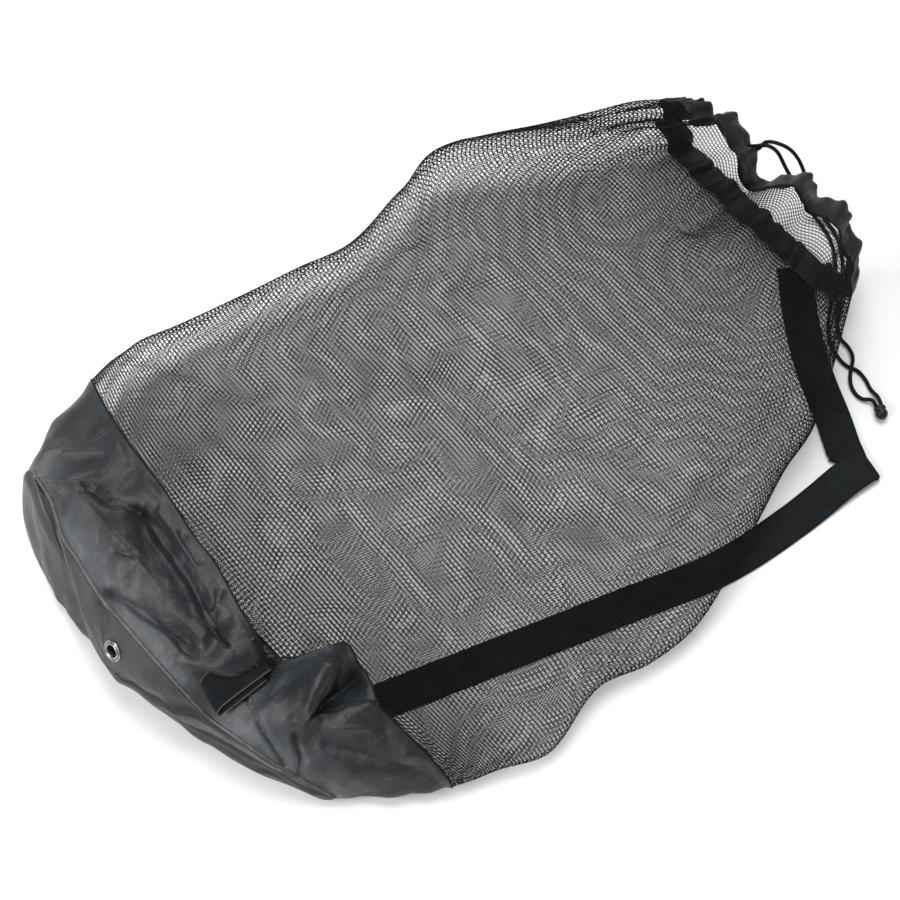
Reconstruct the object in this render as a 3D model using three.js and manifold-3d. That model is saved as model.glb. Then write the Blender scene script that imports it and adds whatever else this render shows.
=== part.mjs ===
// Mesh gear bag lying on its side: a tube of netting on a coated base, with a gathered collar,
// a drawcord and a webbing shoulder strap.
// Millimetres, +Z up, the floor at z = 0. +X runs from the base to the mouth, +Y to the bag's left.

import * as THREE from 'three';
import { mergeVertices } from 'three/addons/utils/BufferGeometryUtils.js';
import Module from 'manifold-3d';

// Cloth thicknesses, and the gap that sewn neighbours keep
const NET_WALL = 1.4;
const BASE_CLOTH = 1.5;
const HEM_WALL = 2.4;
const SEAM_GAP = 0.35;
const HEM_GAP = 1.2;
const PANEL_GAP = 1.8;

// Facets around the bag, and rows of facets along each piece
const AROUND = 72;
const NET_ROWS = 18;
const WALL_ROWS = 4;
const HEM_ROWS = 2;
const PANEL_RINGS = 3;

// Columns of facets of the left and the right panels, which meet over the top and under the bag, and
// the rows of facets of the net's three lengths
const LEFT_COLUMNS = [54, 90];
const RIGHT_COLUMNS = [18, 54];
const WALL_LENGTH = [0, WALL_ROWS];
const NET_BY_BASE = [0, 6];
const NET_MIDDLE = [6, 12];
const NET_BY_MOUTH = [12, NET_ROWS];

// Stations of the base rim, of the net's lower and upper seams, and of the mouth's edge
const RIM_AT = -362;
const NET_SEAM_AT = -255;
const COLLAR_AT = 321;
const MOUTH_AT = 346;

// Sections of the bag. left and right are the widest points and leftRise and rightRise their heights.
// crest is the height of the top, which lies over crestY. sharp is 1 for an elliptic right shoulder
// and more for a straight slope. leftAhead and rightAhead are how far the sides sit towards the
// mouth, and lean is how far the top does.
const SECTION_COLUMNS = [
  'at', 'left', 'crestY', 'right', 'leftRise', 'rightRise', 'crest', 'sharp',
  'leftAhead', 'rightAhead', 'lean',
];
const SECTIONS = [
  [-362, 204, 80, -160, 50, 10, 80, 1.8, 26, 66, 22],
  [-310, 226, 70, -190, 46, 12, 88, 1.5, 26, 50, 12],
  [-255, 240, 50, -215, 42, 14, 90, 1.3, 24, 36, 4],
  [-190, 247, 40, -229, 38, 14, 84, 1.1, 8, 10, 0],
  [-140, 238, 30, -244, 35, 13, 80, 1.0, 0, 0, 0],
  [-75, 224, 20, -229, 34, 13, 82, 0.95, 0, 0, 0],
  [-30, 215, 15, -241, 34, 14, 86, 0.95, 0, 0, 0],
  [20, 203, 10, -242, 35, 15, 94, 0.95, 0, 0, 0],
  [85, 215, 10, -222, 36, 17, 104, 0.9, 0, 0, 0],
  [130, 223, 10, -205, 40, 19, 112, 0.9, 0, 0, 0],
  [170, 204, 10, -190, 46, 21, 118, 0.85, 0, 0, 0],
  [215, 178, 10, -178, 52, 26, 120, 0.8, 0, 0, 0],
  [265, 153, 10, -148, 56, 36, 114, 0.75, 0, 0, 0],
  [300, 138, 12, -124, 56, 42, 102, 0.7, 0, 0, 0],
  [330, 120, 14, -104, 54, 44, 88, 0.7, 0, 0, 0],
  [352, 112, 14, -92, 50, 42, 78, 0.7, 0, 0, 0],
].map((row) => Object.fromEntries(row.map((value, i) => [SECTION_COLUMNS[i], value])));
const LEFT_SHOULDER = 0.7;
const AHEAD_POWER = 3;
// The underside is flat where FLAT_GAIN times this power of the sine passes 1
const FLAT_GAIN = 1.25;
const FLAT_POWER = 0.7;

// Seam of net and base wall: how far it wanders from its station, by degrees round from the left side
const SEAM_DRIFT = [
  { deg: 0, drift: 0 },
  { deg: 70, drift: 2 },
  { deg: 92, drift: -10 },
  { deg: 112, drift: -30 },
  { deg: 119, drift: 32 },
  { deg: 125, drift: 28 },
  { deg: 137, drift: 12 },
  { deg: 180, drift: 0 },
];

// Rim of the base: how far it is drawn in towards the mouth
const RIM_TUCK = [
  { deg: 0, tuck: 1 },
  { deg: 25, tuck: 9 },
  { deg: 48, tuck: 13 },
  { deg: 72, tuck: 5 },
  { deg: 95, tuck: 0 },
  { deg: 190, tuck: 0 },
  { deg: 215, tuck: 8 },
  { deg: 240, tuck: 12 },
  { deg: 262, tuck: 9 },
  { deg: 310, tuck: 5 },
  { deg: 340, tuck: 1 },
];

// Edge of the mouth: how far each lobe of the gathered hem reaches past its station
const MOUTH_REACH = [
  { deg: 0, reach: -13 },
  { deg: 39, reach: -6 },
  { deg: 50, reach: -13 },
  { deg: 58, reach: -1 },
  { deg: 77, reach: -6 },
  { deg: 87, reach: -17 },
  { deg: 97, reach: -4 },
  { deg: 107, reach: 7 },
  { deg: 117, reach: 0 },
  { deg: 126, reach: 12 },
  { deg: 156, reach: 2 },
  { deg: 180, reach: -6 },
  { deg: 270, reach: -10 },
];
// The hem's lower seam follows its edge by this share, and the net does from this share of its length on
const HEM_FOLLOW = 0.8;
const NET_FOLLOW_FROM = 0.6;

// Gathers: lobes round the mouth, the angle of the first, their height, and where they fade out
const GATHERS = 15;
const FIRST_GATHER = 36;
const GATHER_HEIGHT = 5.5;
const GATHER_FADE_AT = 190;

// Swells of the top over what the bag was packed with: centre, radii and height
const SWELLS = [
  { x: 165, y: 54, rx: 95, ry: 45, height: 9 },
  { x: 160, y: -60, rx: 105, ry: 45, height: 10 },
  { x: -80, y: 25, rx: 75, ry: 55, height: 8 },
];

// Folds of the top, each along a line seen from above: ridges rise and creases sink
const FOLDS = [
  // base wall: ledge and crease of the left corner
  { x1: -322, y1: 182, x2: -290, y2: 148, width: 10, depth: 6 },
  { x1: -306, y1: 214, x2: -262, y2: 196, width: 9, depth: -6 },
  // base wall: long crease along the net seam, and the diagonal one under it
  { x1: -275, y1: 100, x2: -290, y2: -14, width: 11, depth: -10 },
  { x1: -334, y1: 61, x2: -307, y2: -23, width: 10, depth: -8 },
  // base wall: the valley that holds the tab, and the pleat beyond the side seam
  { x1: -262, y1: -62, x2: -326, y2: -58, width: 21, depth: -14 },
  { x1: -236, y1: -80, x2: -286, y2: -105, width: 11, depth: 9 },
  { x1: -240, y1: -116, x2: -284, y2: -122, width: 12, depth: -9 },
  // net: crease beside the base, and tucks along the left edge
  { x1: -190, y1: 244, x2: -143, y2: 137, width: 11, depth: -7 },
  { x1: 98, y1: 212, x2: 54, y2: 160, width: 13, depth: -9 },
  { x1: 144, y1: 194, x2: 260, y2: 92, width: 13, depth: 6 },
  // net: long folds along the right edge, and the pocket near the base
  { x1: 189, y1: -168, x2: -5, y2: -196, width: 12, depth: -8 },
  { x1: 137, y1: -190, x2: -52, y2: -214, width: 11, depth: 6 },
  { x1: -95, y1: -214, x2: -180, y2: -206, width: 13, depth: -8 },
  // net and collar: the valley down from the mouth's gap, and ridges beside it
  { x1: 356, y1: 18, x2: 232, y2: 4, width: 17, depth: -26 },
  { x1: 330, y1: 56, x2: 236, y2: 68, width: 13, depth: 7 },
  { x1: 330, y1: -38, x2: 215, y2: -30, width: 13, depth: 7 },
  { x1: 322, y1: -80, x2: 208, y2: -104, width: 13, depth: 6 },
];
// A fold works in full where the sine of its angle passes 1 over this, and fades out towards the sides
const FOLD_GAIN = 1.8;

// End panel: its centre, and how far it swells out from its rim
const PANEL_CENTRE = { x: -351, y: 26, z: 38 };
const PANEL_SWELL = 13;

// Drain eyelet in the end panel: place by share of the way to the rim and by angle, and its sizes
const EYELET_SHARE = 0.48;
const EYELET_DEG = 99;
const EYELET_RADIUS = 9.2;
const EYELET_BORE = 5.2;
const EYELET_BARREL = 6.0;
const EYELET_HOLE = 6.5;
const EYELET_FRONT_GAP = 0.4;
const EYELET_BACK_GAP = 1.2;
const EYELET_FLANGE = 1.6;
const EYELET_CHAMFER = 1;
const EYELET_SIDES = 24;
// The swelling cloth is cut out under the eyelet and a flat disc of it set in
const EYELET_CUTOUT = 10.5;
const EYELET_FLAT = 13.5;
const EYELET_CUT_DEPTH = 40;

// Shoulder strap: webbing size and rows along it. cross is the direction of its width from above and
// bank its tilt. roll turns its face: it folds under itself once, then loops back over the top.
const STRAP_WIDTH = 31;
const STRAP_THICK = 2;
const STRAP_ROWS = [
  { x: 318, y: -50, z: 1.1, cross: -37, bank: 0, roll: 0, widen: 1 },
  { x: 290, y: -86, z: 1.1, cross: -36, bank: 0, roll: 0, widen: 1 },
  { x: 266, y: -124, z: 1.1, cross: -31, bank: 0, roll: 0, widen: 1 },
  { x: 253, y: -150, z: 1.1, cross: -27, bank: 0, roll: 0, widen: 1 },
  { x: 241, y: -177, z: 1.7, cross: -26, bank: 0, roll: 0, widen: 1 },
  { x: 228, y: -202, z: 3.4, cross: -26, bank: 0, roll: 0, widen: 1 },
  { x: 221, y: -217.5, z: 3.5, cross: -58, bank: 0, roll: 0, widen: 1.15 },
  { x: 219.9, y: -218.1, z: 2.3, cross: -58, bank: 0, roll: -90, widen: 1.15 },
  { x: 221, y: -217.5, z: 1.1, cross: -58, bank: 0, roll: -180, widen: 1.15 },
  { x: 232, y: -227.6, z: 1.1, cross: -100, bank: 0, roll: -180, widen: 1 },
  { x: 234.4, y: -228, z: 3.5, cross: -100, bank: 0, roll: -270, widen: 0.9 },
  { x: 232, y: -227.6, z: 5.9, cross: -100, bank: 0, roll: -360, widen: 1 },
  { x: 208, y: -225, z: 5.6, cross: -94, bank: 0, roll: -360, widen: 1 },
  { x: 180, y: -224.5, z: 2.6, cross: -92, bank: 0, roll: -360, widen: 1 },
  { x: 150, y: -223.5, z: 1.1, cross: -92, bank: 0, roll: -360, widen: 1 },
  { x: 100, y: -219, z: 1.1, cross: -97, bank: 0, roll: -360, widen: 1 },
  { x: 60, y: -211, z: 1.1, cross: -104, bank: 0, roll: -360, widen: 1 },
  { x: 0, y: -191, z: 1.1, cross: -108, bank: 0, roll: -360, widen: 1 },
  { x: -80, y: -165, z: 1.1, cross: -108, bank: 0, roll: -360, widen: 1 },
  { x: -150, y: -142, z: 1.1, cross: -108, bank: 0, roll: -360, widen: 1 },
  { x: -268, y: -103, z: 1.1, cross: -108, bank: 0, roll: -360, widen: 1 },
];
// The bag's underside rides over the strap: height, full to this far from its middle, then falling off
const STRAP_LIFT = 3;
const LIFT_HALF = 38;
const LIFT_FALL = 26;

// Webbing tab at the top of the side seam: an open loop on the valley's slope, its fold towards the base
const TAB_WIDTH = 29;
const TAB_THICK = 1.6;
const TAB_ROWS = [
  { x: -273, y: -51.4, z: 84.5, cross: -100, bank: -28, roll: 0, widen: 1 },
  { x: -318, y: -47, z: 69.8, cross: -100, bank: -28, roll: 0, widen: 1 },
  { x: -324.6, y: -48.2, z: 67.4, cross: -100, bank: -28, roll: -50, widen: 1 },
  { x: -326.6, y: -49.4, z: 64.8, cross: -100, bank: -28, roll: -110, widen: 1 },
  { x: -324.4, y: -50.4, z: 62.4, cross: -100, bank: -28, roll: -180, widen: 1 },
  { x: -280, y: -54.2, z: 77, cross: -100, bank: -28, roll: -180, widen: 1 },
];

// Drawcord: two runs out of the hem at the mouth's gap, over it, down in front and along the floor
const CORD_DIAMETER = 3.4;
const CORD_SIDES = 8;
const CORD_STEPS = 38;
const CORD_INNER = [
  [340.4, 32.6, 73.4], [341.4, 30.6, 79], [343, 26.6, 83], [345, 20.6, 83.6], [346.4, 15.6, 80.6],
  [348, 11.4, 73.5], [350.4, 7.4, 63.5], [354, 2, 50.5], [358, -6, 33], [362, -16, 16], [365, -26, 6],
  [365, -37, 2.4], [361, -51, 1.9], [352, -66, 1.8], [338, -81, 1.8], [320, -95, 1.8], [303, -108, 1.8],
  [291, -122, 1.8], [285.5, -136, 1.8], [285, -150, 1.8], [288.5, -158, 1.8], [288, -168, 1.8],
  [284.5, -179, 2.2], [283.2, -188.2, 4.2], [279.8, -195.4, 5.6],
];
const CORD_OUTER = [
  [344.6, 33.6, 73.6], [345.8, 31.2, 79.4], [347.6, 27, 83.8], [350.6, 20, 86], [354.6, 11.6, 84.4],
  [357.6, 4, 78], [360, -1.6, 68], [363.2, -6.6, 52], [367, -12, 33], [369, -18, 16], [371, -27, 6],
  [371, -39, 2.4], [367, -54, 1.9], [357, -70, 1.8], [342, -86, 1.8], [325, -100, 1.8], [310, -112, 1.8],
  [300, -125, 1.9], [297.5, -139, 3.4], [292, -148.5, 5.8], [284, -154.5, 5.8], [277, -161, 3.6],
  [272.5, -170, 2], [272.5, -180, 2.2], [277.2, -187, 4.2], [275.5, -193.3, 5.6],
];

// Bead on the cord ends: place of its cord end, direction from there, and its outline
const BEAD_START = [277.2, -195.2, 5.6];
const BEAD_HEADING = [-0.45, -0.89, 0];
const BEAD_SIDES = 14;
const BEAD_OUTLINE = [
  { along: 0, radius: 0 },
  { along: 0, radius: 4.6 },
  { along: 1.6, radius: 5.4 },
  { along: 4.5, radius: 4.9 },
  { along: 7.5, radius: 5.4 },
  { along: 10.5, radius: 4.4 },
  { along: 12.2, radius: 2.4 },
  { along: 12.6, radius: 0 },
];

// The stations above are measured from the middle of the net, and this sets the bag's own middle over
// the origin
const MIDDLE = [4.8, -1.6, 0];

const wasm = await Module();
wasm.setup();

const RADIANS = Math.PI / 180;
const vec = (p) => new THREE.Vector3(...p);
const mix = (a, b, t) => a + (b - a) * t;
const ease = (t) => t * t * (3 - 2 * t);
const clamp01 = (t) => Math.min(1, Math.max(0, t));

// One column of the section table at any station, on a smooth curve through its rows
function section(key, at) {
  const last = SECTIONS.length - 1;
  const station = Math.min(SECTIONS[last].at, Math.max(SECTIONS[0].at, at));
  let i = 0;
  while (i < last - 1 && SECTIONS[i + 1].at < station) i += 1;
  const slope = (k) => {
    const before = SECTIONS[Math.max(0, k - 1)];
    const after = SECTIONS[Math.min(last, k + 1)];
    return (after[key] - before[key]) / (after.at - before.at);
  };
  const step = SECTIONS[i + 1].at - SECTIONS[i].at;
  const t = (station - SECTIONS[i].at) / step;
  const start = SECTIONS[i][key] + slope(i) * step * t * (1 - t) * (1 - t);
  const end = SECTIONS[i + 1][key] - slope(i + 1) * step * (1 - t) * t * t;
  return mix(SECTIONS[i][key], SECTIONS[i + 1][key], ease(t)) + (start - SECTIONS[i][key])
    + (end - SECTIONS[i + 1][key]);
}

// One column of a table by angle, eased from row to row all the way round
function byAngle(rows, key, deg) {
  const wrapped = [...rows, { ...rows[0], deg: rows[0].deg + 360 }];
  const i = wrapped.findLastIndex((row) => row.deg <= deg);
  if (i === wrapped.length - 1) return wrapped[i][key];
  const t = (deg - wrapped[i].deg) / (wrapped[i + 1].deg - wrapped[i].deg);
  return mix(wrapped[i][key], wrapped[i + 1][key], ease(t));
}

// Distance in plan from a point to a straight line between two ends
function lineDistance(x, y, x1, y1, x2, y2) {
  const along = clamp01(((x - x1) * (x2 - x1) + (y - y1) * (y2 - y1)) / ((x2 - x1) ** 2 + (y2 - y1) ** 2));
  return Math.hypot(x - mix(x1, x2, along), y - mix(y1, y2, along));
}

// How far swells, ridges and creases push the top out at a place seen from above
function foldHeight(x, y) {
  let height = 0;
  for (const s of SWELLS) {
    const off = Math.hypot((x - s.x) / s.rx, (y - s.y) / s.ry);
    height += s.height * Math.exp(-(off ** 2));
  }
  for (const f of FOLDS) {
    const off = lineDistance(x, y, f.x1, f.y1, f.x2, f.y2);
    height += f.depth * Math.exp(-((off / f.width) ** 2));
  }
  return height;
}

// How high the underside is held by the strap at a place seen from above
function strapLift(x, y) {
  let off = Infinity;
  for (let i = 1; i < STRAP_ROWS.length; i += 1) {
    const a = STRAP_ROWS[i - 1];
    const b = STRAP_ROWS[i];
    off = Math.min(off, lineDistance(x, y, a.x, a.y, b.x, b.y));
  }
  return STRAP_LIFT * ease(clamp01((LIFT_HALF + LIFT_FALL - off) / LIFT_FALL));
}

// Outer surface of the bag: a station along it and degrees round from the left side over the top
function bodyPoint(at, deg, reach = 0) {
  const c = Math.cos(deg * RADIANS);
  const s = Math.sin(deg * RADIANS);
  const side = section(c >= 0 ? 'left' : 'right', at) - section('crestY', at);
  const crest = section('crest', at);
  const rise = mix(section('rightRise', at), section('leftRise', at), (1 + c) / 2);
  let y = section('crestY', at) + side * Math.abs(c);
  let z = rise * (1 - Math.min(1, FLAT_GAIN * Math.abs(s) ** FLAT_POWER));
  if (s > 0) z = rise + (crest - rise) * s ** (c >= 0 ? LEFT_SHOULDER : section('sharp', at));
  const ahead = section(c >= 0 ? 'leftAhead' : 'rightAhead', at) * Math.abs(c) ** AHEAD_POWER;
  const x = at + ahead + (section('lean', at) * z) / crest + reach;

  const fade = ease(clamp01((at - GATHER_FADE_AT) / (MOUTH_AT - GATHER_FADE_AT)));
  let push = GATHER_HEIGHT * fade * Math.cos(GATHERS * (deg - FIRST_GATHER) * RADIANS);
  if (s > 0) push += foldHeight(x, y) * Math.min(1, FOLD_GAIN * s);
  const outward = new THREE.Vector2(c / Math.abs(side), s / crest).normalize();
  y += push * outward.x;
  z += push * outward.y;
  return new THREE.Vector3(x, y, Math.max(z, strapLift(x, y)));
}

const columnDeg = (i) => (i * 360) / AROUND;
const seamAt = (deg) => NET_SEAM_AT + byAngle(SEAM_DRIFT, 'drift', deg);
const rimTuck = (deg) => byAngle(RIM_TUCK, 'tuck', deg);

// Rings of points between two stations that may wander with the angle
function bodyRings(rows, startAt, endAt, reachAt = () => 0) {
  const rings = [];
  for (let j = 0; j <= rows; j += 1) {
    const ring = [];
    for (let i = 0; i < AROUND; i += 1) {
      const deg = columnDeg(i);
      const t = j / rows;
      ring.push(bodyPoint(mix(startAt(deg), endAt(deg), t), deg, reachAt(deg, t)));
    }
    rings.push(ring);
  }
  return rings;
}

// The inner face of a ring, one wall inside it in its own plane
function insetRing(ring, wall) {
  return ring.map((p, i) => {
    const before = ring[(i + AROUND - 1) % AROUND];
    const after = ring[(i + 1) % AROUND];
    const inward = new THREE.Vector2(before.z - after.z, after.y - before.y).normalize();
    return new THREE.Vector3(p.x, p.y + inward.x * wall, p.z + inward.y * wall);
  });
}

function solid(points, faces) {
  const geometry = new THREE.BufferGeometry();
  geometry.setAttribute('position', new THREE.Float32BufferAttribute(points.flatMap((p) => p.toArray()), 3));
  geometry.setIndex(faces.flat());
  geometry.computeVertexNormals();
  return geometry;
}

// Two triangles over four corners in order
const quad = (a, b, c, d) => [a, b, c, a, c, d];

// A tube wall from rings that run towards the mouth
function tubeWall(rings, wall) {
  const points = [...rings.flat(), ...rings.map((ring) => insetRing(ring, wall)).flat()];
  const inside = rings.length * AROUND;
  const last = rings.length - 1;
  const faces = [];
  for (let i = 0; i < AROUND; i += 1) {
    const next = (i + 1) % AROUND;
    for (let j = 0; j < last; j += 1) {
      const here = j * AROUND;
      const ahead = here + AROUND;
      faces.push(quad(here + i, here + next, ahead + next, ahead + i));
      faces.push(quad(inside + here + next, inside + here + i, inside + ahead + i, inside + ahead + next));
    }
    const end = last * AROUND;
    faces.push(quad(i, inside + i, inside + next, next));
    faces.push(quad(end + next, inside + end + next, inside + end + i, end + i));
  }
  return solid(points, faces);
}

// A point drawn back from a panel's edge by half a seam gap
function drawnBack(edge, inner) {
  return edge.clone().addScaledVector(inner.clone().sub(edge).normalize(), SEAM_GAP / 2);
}

// A line of points with both ends drawn back
function drawnBackEnds(line) {
  const last = line.length - 1;
  return [drawnBack(line[0], line[1]), ...line.slice(1, last), drawnBack(line[last], line[last - 1])];
}

// The points of one face of a wall between two columns, with its side edges and end edges drawn back
function panelFace(rings, [first, last]) {
  const rows = rings.map((ring) => {
    const line = [];
    for (let i = first; i <= last; i += 1) line.push(ring[i % AROUND]);
    return drawnBackEnds(line);
  });
  const end = rows.length - 1;
  return [
    rows[0].map((p, i) => drawnBack(p, rows[1][i])),
    ...rows.slice(1, end),
    rows[end].map((p, i) => drawnBack(p, rows[end - 1][i])),
  ];
}

// A panel of a wall, from rings that run towards the mouth, between two columns and two rows
function wallPanel(rings, wall, columns, [firstRow, lastRow]) {
  const used = rings.slice(firstRow, lastRow + 1);
  const outer = panelFace(used, columns);
  const inner = panelFace(used.map((ring) => insetRing(ring, wall)), columns);
  const width = outer[0].length;
  const inside = outer.length * width;
  const right = width - 1;
  const end = (outer.length - 1) * width;
  const faces = [];
  for (let here = 0; here < end; here += width) {
    const ahead = here + width;
    for (let i = 0; i < right; i += 1) {
      const next = i + 1;
      faces.push(quad(here + i, here + next, ahead + next, ahead + i));
      faces.push(quad(inside + here + next, inside + here + i, inside + ahead + i, inside + ahead + next));
    }
    faces.push(quad(here, ahead, inside + ahead, inside + here));
    faces.push(quad(ahead + right, here + right, inside + here + right, inside + ahead + right));
  }
  for (let i = 0; i < right; i += 1) {
    const next = i + 1;
    faces.push(quad(i, inside + i, inside + next, next));
    faces.push(quad(end + next, inside + end + next, inside + end + i, end + i));
  }
  return solid([...outer.flat(), ...inner.flat()], faces);
}

// Outer face of the end panel: a share of the way from its centre to the rim, and an angle
function panelPoint(share, deg) {
  const rim = bodyPoint(RIM_AT, deg, rimTuck(deg));
  const swell = PANEL_SWELL * (1 - share * share);
  return new THREE.Vector3(
    mix(PANEL_CENTRE.x, rim.x, share) - swell - PANEL_GAP - BASE_CLOTH,
    mix(PANEL_CENTRE.y, rim.y, share),
    mix(PANEL_CENTRE.z, rim.z, share),
  );
}

// The end panel lies just in front of the base wall's edge
function panelSheet() {
  const points = [panelPoint(0, 0)];
  for (let k = 1; k <= PANEL_RINGS; k += 1) {
    for (let i = 0; i < AROUND; i += 1) points.push(panelPoint(k / PANEL_RINGS, columnDeg(i)));
  }
  const back = points.length;
  points.push(...points.map((p) => new THREE.Vector3(p.x + BASE_CLOTH, p.y, p.z)));
  const ringStart = (k) => 1 + (k - 1) * AROUND;
  const faces = [];
  for (let i = 0; i < AROUND; i += 1) {
    const next = (i + 1) % AROUND;
    const first = ringStart(1);
    faces.push([0, first + next, first + i]);
    faces.push([back, back + first + i, back + first + next]);
    for (let k = 1; k < PANEL_RINGS; k += 1) {
      const here = ringStart(k);
      const outer = ringStart(k + 1);
      faces.push(quad(here + i, here + next, outer + next, outer + i));
      faces.push(quad(back + here + next, back + here + i, back + outer + i, back + outer + next));
    }
    const edge = ringStart(PANEL_RINGS);
    faces.push(quad(edge + i, edge + next, back + edge + next, back + edge + i));
  }
  return solid(points, faces);
}

// The eyelet's place on the panel's middle surface and the way that it faces
function eyeletPlace() {
  const small = 0.02;
  const here = panelPoint(EYELET_SHARE, EYELET_DEG);
  const out = panelPoint(EYELET_SHARE + small, EYELET_DEG).sub(here);
  const round = panelPoint(EYELET_SHARE, EYELET_DEG + small / RADIANS).sub(here);
  const normal = round.cross(out).normalize();
  return { point: here.addScaledVector(normal, -BASE_CLOTH / 2), normal };
}

function facing(geometry, place) {
  const turn = new THREE.Quaternion().setFromUnitVectors(new THREE.Vector3(0, 1, 0), place.normal);
  return geometry.applyQuaternion(turn).translate(...place.point.toArray());
}

function toManifold(geometry) {
  const plain = geometry.clone();
  plain.deleteAttribute('normal');
  plain.deleteAttribute('uv');
  const merged = mergeVertices(plain);
  return new wasm.Manifold(new wasm.Mesh({
    numProp: 3,
    vertProperties: new Float32Array(merged.attributes.position.array),
    triVerts: new Uint32Array(merged.index.array),
  }));
}

function fromManifold(body) {
  const mesh = body.getMesh();
  const geometry = new THREE.BufferGeometry();
  geometry.setAttribute('position', new THREE.BufferAttribute(mesh.vertProperties, 3));
  geometry.setIndex(new THREE.BufferAttribute(mesh.triVerts, 1));
  geometry.computeVertexNormals();
  return geometry;
}

// A disc as thick as given, centred on the panel's middle surface at the eyelet
function eyeletDisc(radius, thick, place) {
  return toManifold(facing(new THREE.CylinderGeometry(radius, radius, thick, EYELET_SIDES), place));
}

// The end panel, flat under its eyelet and with the hole for it
function drilledPanel(place) {
  const opened = toManifold(panelSheet()).subtract(eyeletDisc(EYELET_CUTOUT, EYELET_CUT_DEPTH, place));
  const flat = eyeletDisc(EYELET_FLAT, BASE_CLOTH, place);
  return fromManifold(opened.add(flat).subtract(eyeletDisc(EYELET_HOLE, EYELET_CUT_DEPTH, place)));
}

// A flanged ring on both faces of the cloth, with its barrel through the hole
function eyeletRing(place) {
  const front = BASE_CLOTH / 2 + EYELET_FRONT_GAP;
  const back = -BASE_CLOTH / 2 - EYELET_BACK_GAP;
  const outline = [
    [EYELET_BORE, back - EYELET_FLANGE],
    [EYELET_RADIUS, back - EYELET_FLANGE / 2],
    [EYELET_RADIUS, back],
    [EYELET_BARREL, back],
    [EYELET_BARREL, front],
    [EYELET_RADIUS, front],
    [EYELET_RADIUS - EYELET_CHAMFER, front + EYELET_FLANGE],
    [EYELET_BARREL, front + EYELET_FLANGE],
    [EYELET_BORE, front + EYELET_FLANGE / 2],
    [EYELET_BORE, back - EYELET_FLANGE],
  ];
  const ring = new THREE.LatheGeometry(outline.map(([r, h]) => new THREE.Vector2(r, h)), EYELET_SIDES);
  return facing(ring, place);
}

// A flat band through rows: its middle, the direction and tilt of its width, and the roll of its face
function webbing(rows, width, thick) {
  const points = [];
  for (const row of rows) {
    const cross = row.cross * RADIANS;
    const roll = row.roll * RADIANS;
    const bank = row.bank * RADIANS;
    const across = new THREE.Vector3(Math.cos(cross), Math.sin(cross), Math.tan(bank)).normalize();
    const side = new THREE.Vector3(-Math.sin(cross), Math.cos(cross), 0);
    const up = across.clone().cross(side);
    const face = up.multiplyScalar(Math.cos(roll)).addScaledVector(side, Math.sin(roll));
    across.multiplyScalar((width / 2) * row.widen);
    face.multiplyScalar(thick / 2);
    for (const [a, f] of [[-1, 1], [1, 1], [1, -1], [-1, -1]]) {
      const middle = new THREE.Vector3(row.x, row.y, row.z);
      points.push(middle.addScaledVector(across, a).addScaledVector(face, f));
    }
  }
  const corners = 4;
  const end = (rows.length - 1) * corners;
  const faces = [quad(0, 1, 2, 3), quad(end + 3, end + 2, end + 1, end)];
  for (let r = 0; r < end; r += corners) {
    for (let i = 0; i < corners; i += 1) {
      const next = (i + 1) % corners;
      faces.push(quad(r + i, r + corners + i, r + corners + next, r + next));
    }
  }
  return solid(points, faces);
}

function cordTube(route) {
  const outline = [];
  for (let i = 0; i < CORD_SIDES; i += 1) {
    const turn = (i / CORD_SIDES) * 2 * Math.PI;
    outline.push(new THREE.Vector2(Math.cos(turn), Math.sin(turn)).multiplyScalar(CORD_DIAMETER / 2));
  }
  const extrudePath = new THREE.CatmullRomCurve3(route.map(vec));
  const options = { steps: CORD_STEPS, bevelEnabled: false, extrudePath };
  return new THREE.ExtrudeGeometry(new THREE.Shape(outline), options);
}

function beadBody() {
  const outline = BEAD_OUTLINE.map((row) => new THREE.Vector2(row.radius, row.along));
  const bead = new THREE.LatheGeometry(outline, BEAD_SIDES);
  return facing(bead, { point: vec(BEAD_START), normal: vec(BEAD_HEADING).normalize() });
}

function finish(color, roughness, metalness) {
  return new THREE.MeshStandardMaterial({ color, roughness, metalness });
}

const NETTING = finish(0x141517, 0.75, 0);
const COATED_CLOTH = finish(0x4a4d50, 0.5, 0);
const HEM_CLOTH = finish(0x17181a, 0.6, 0);
const WEBBING = finish(0x16171a, 0.8, 0);
const CORD = finish(0x141416, 0.8, 0);
const BEAD = finish(0x151517, 0.45, 0);
const METAL = finish(0xb8b8b4, 0.3, 1);

const reachAt = (deg, share) => byAngle(MOUTH_REACH, 'reach', deg) * mix(HEM_FOLLOW, 1, share);
const netFollow = (t) => ease(clamp01((t - NET_FOLLOW_FROM) / (1 - NET_FOLLOW_FROM)));
const netReach = (deg, t) => reachAt(deg, 0) * netFollow(t);
const wallReach = (deg, t) => rimTuck(deg) * (1 - t);
const netRings = bodyRings(NET_ROWS, (deg) => seamAt(deg) + SEAM_GAP, () => COLLAR_AT - HEM_GAP, netReach);
const wallRings = bodyRings(WALL_ROWS, () => RIM_AT + SEAM_GAP, seamAt, wallReach);
const hemRings = bodyRings(HEM_ROWS, () => COLLAR_AT, () => MOUTH_AT, reachAt);
const eyeletSpot = eyeletPlace();

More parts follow.
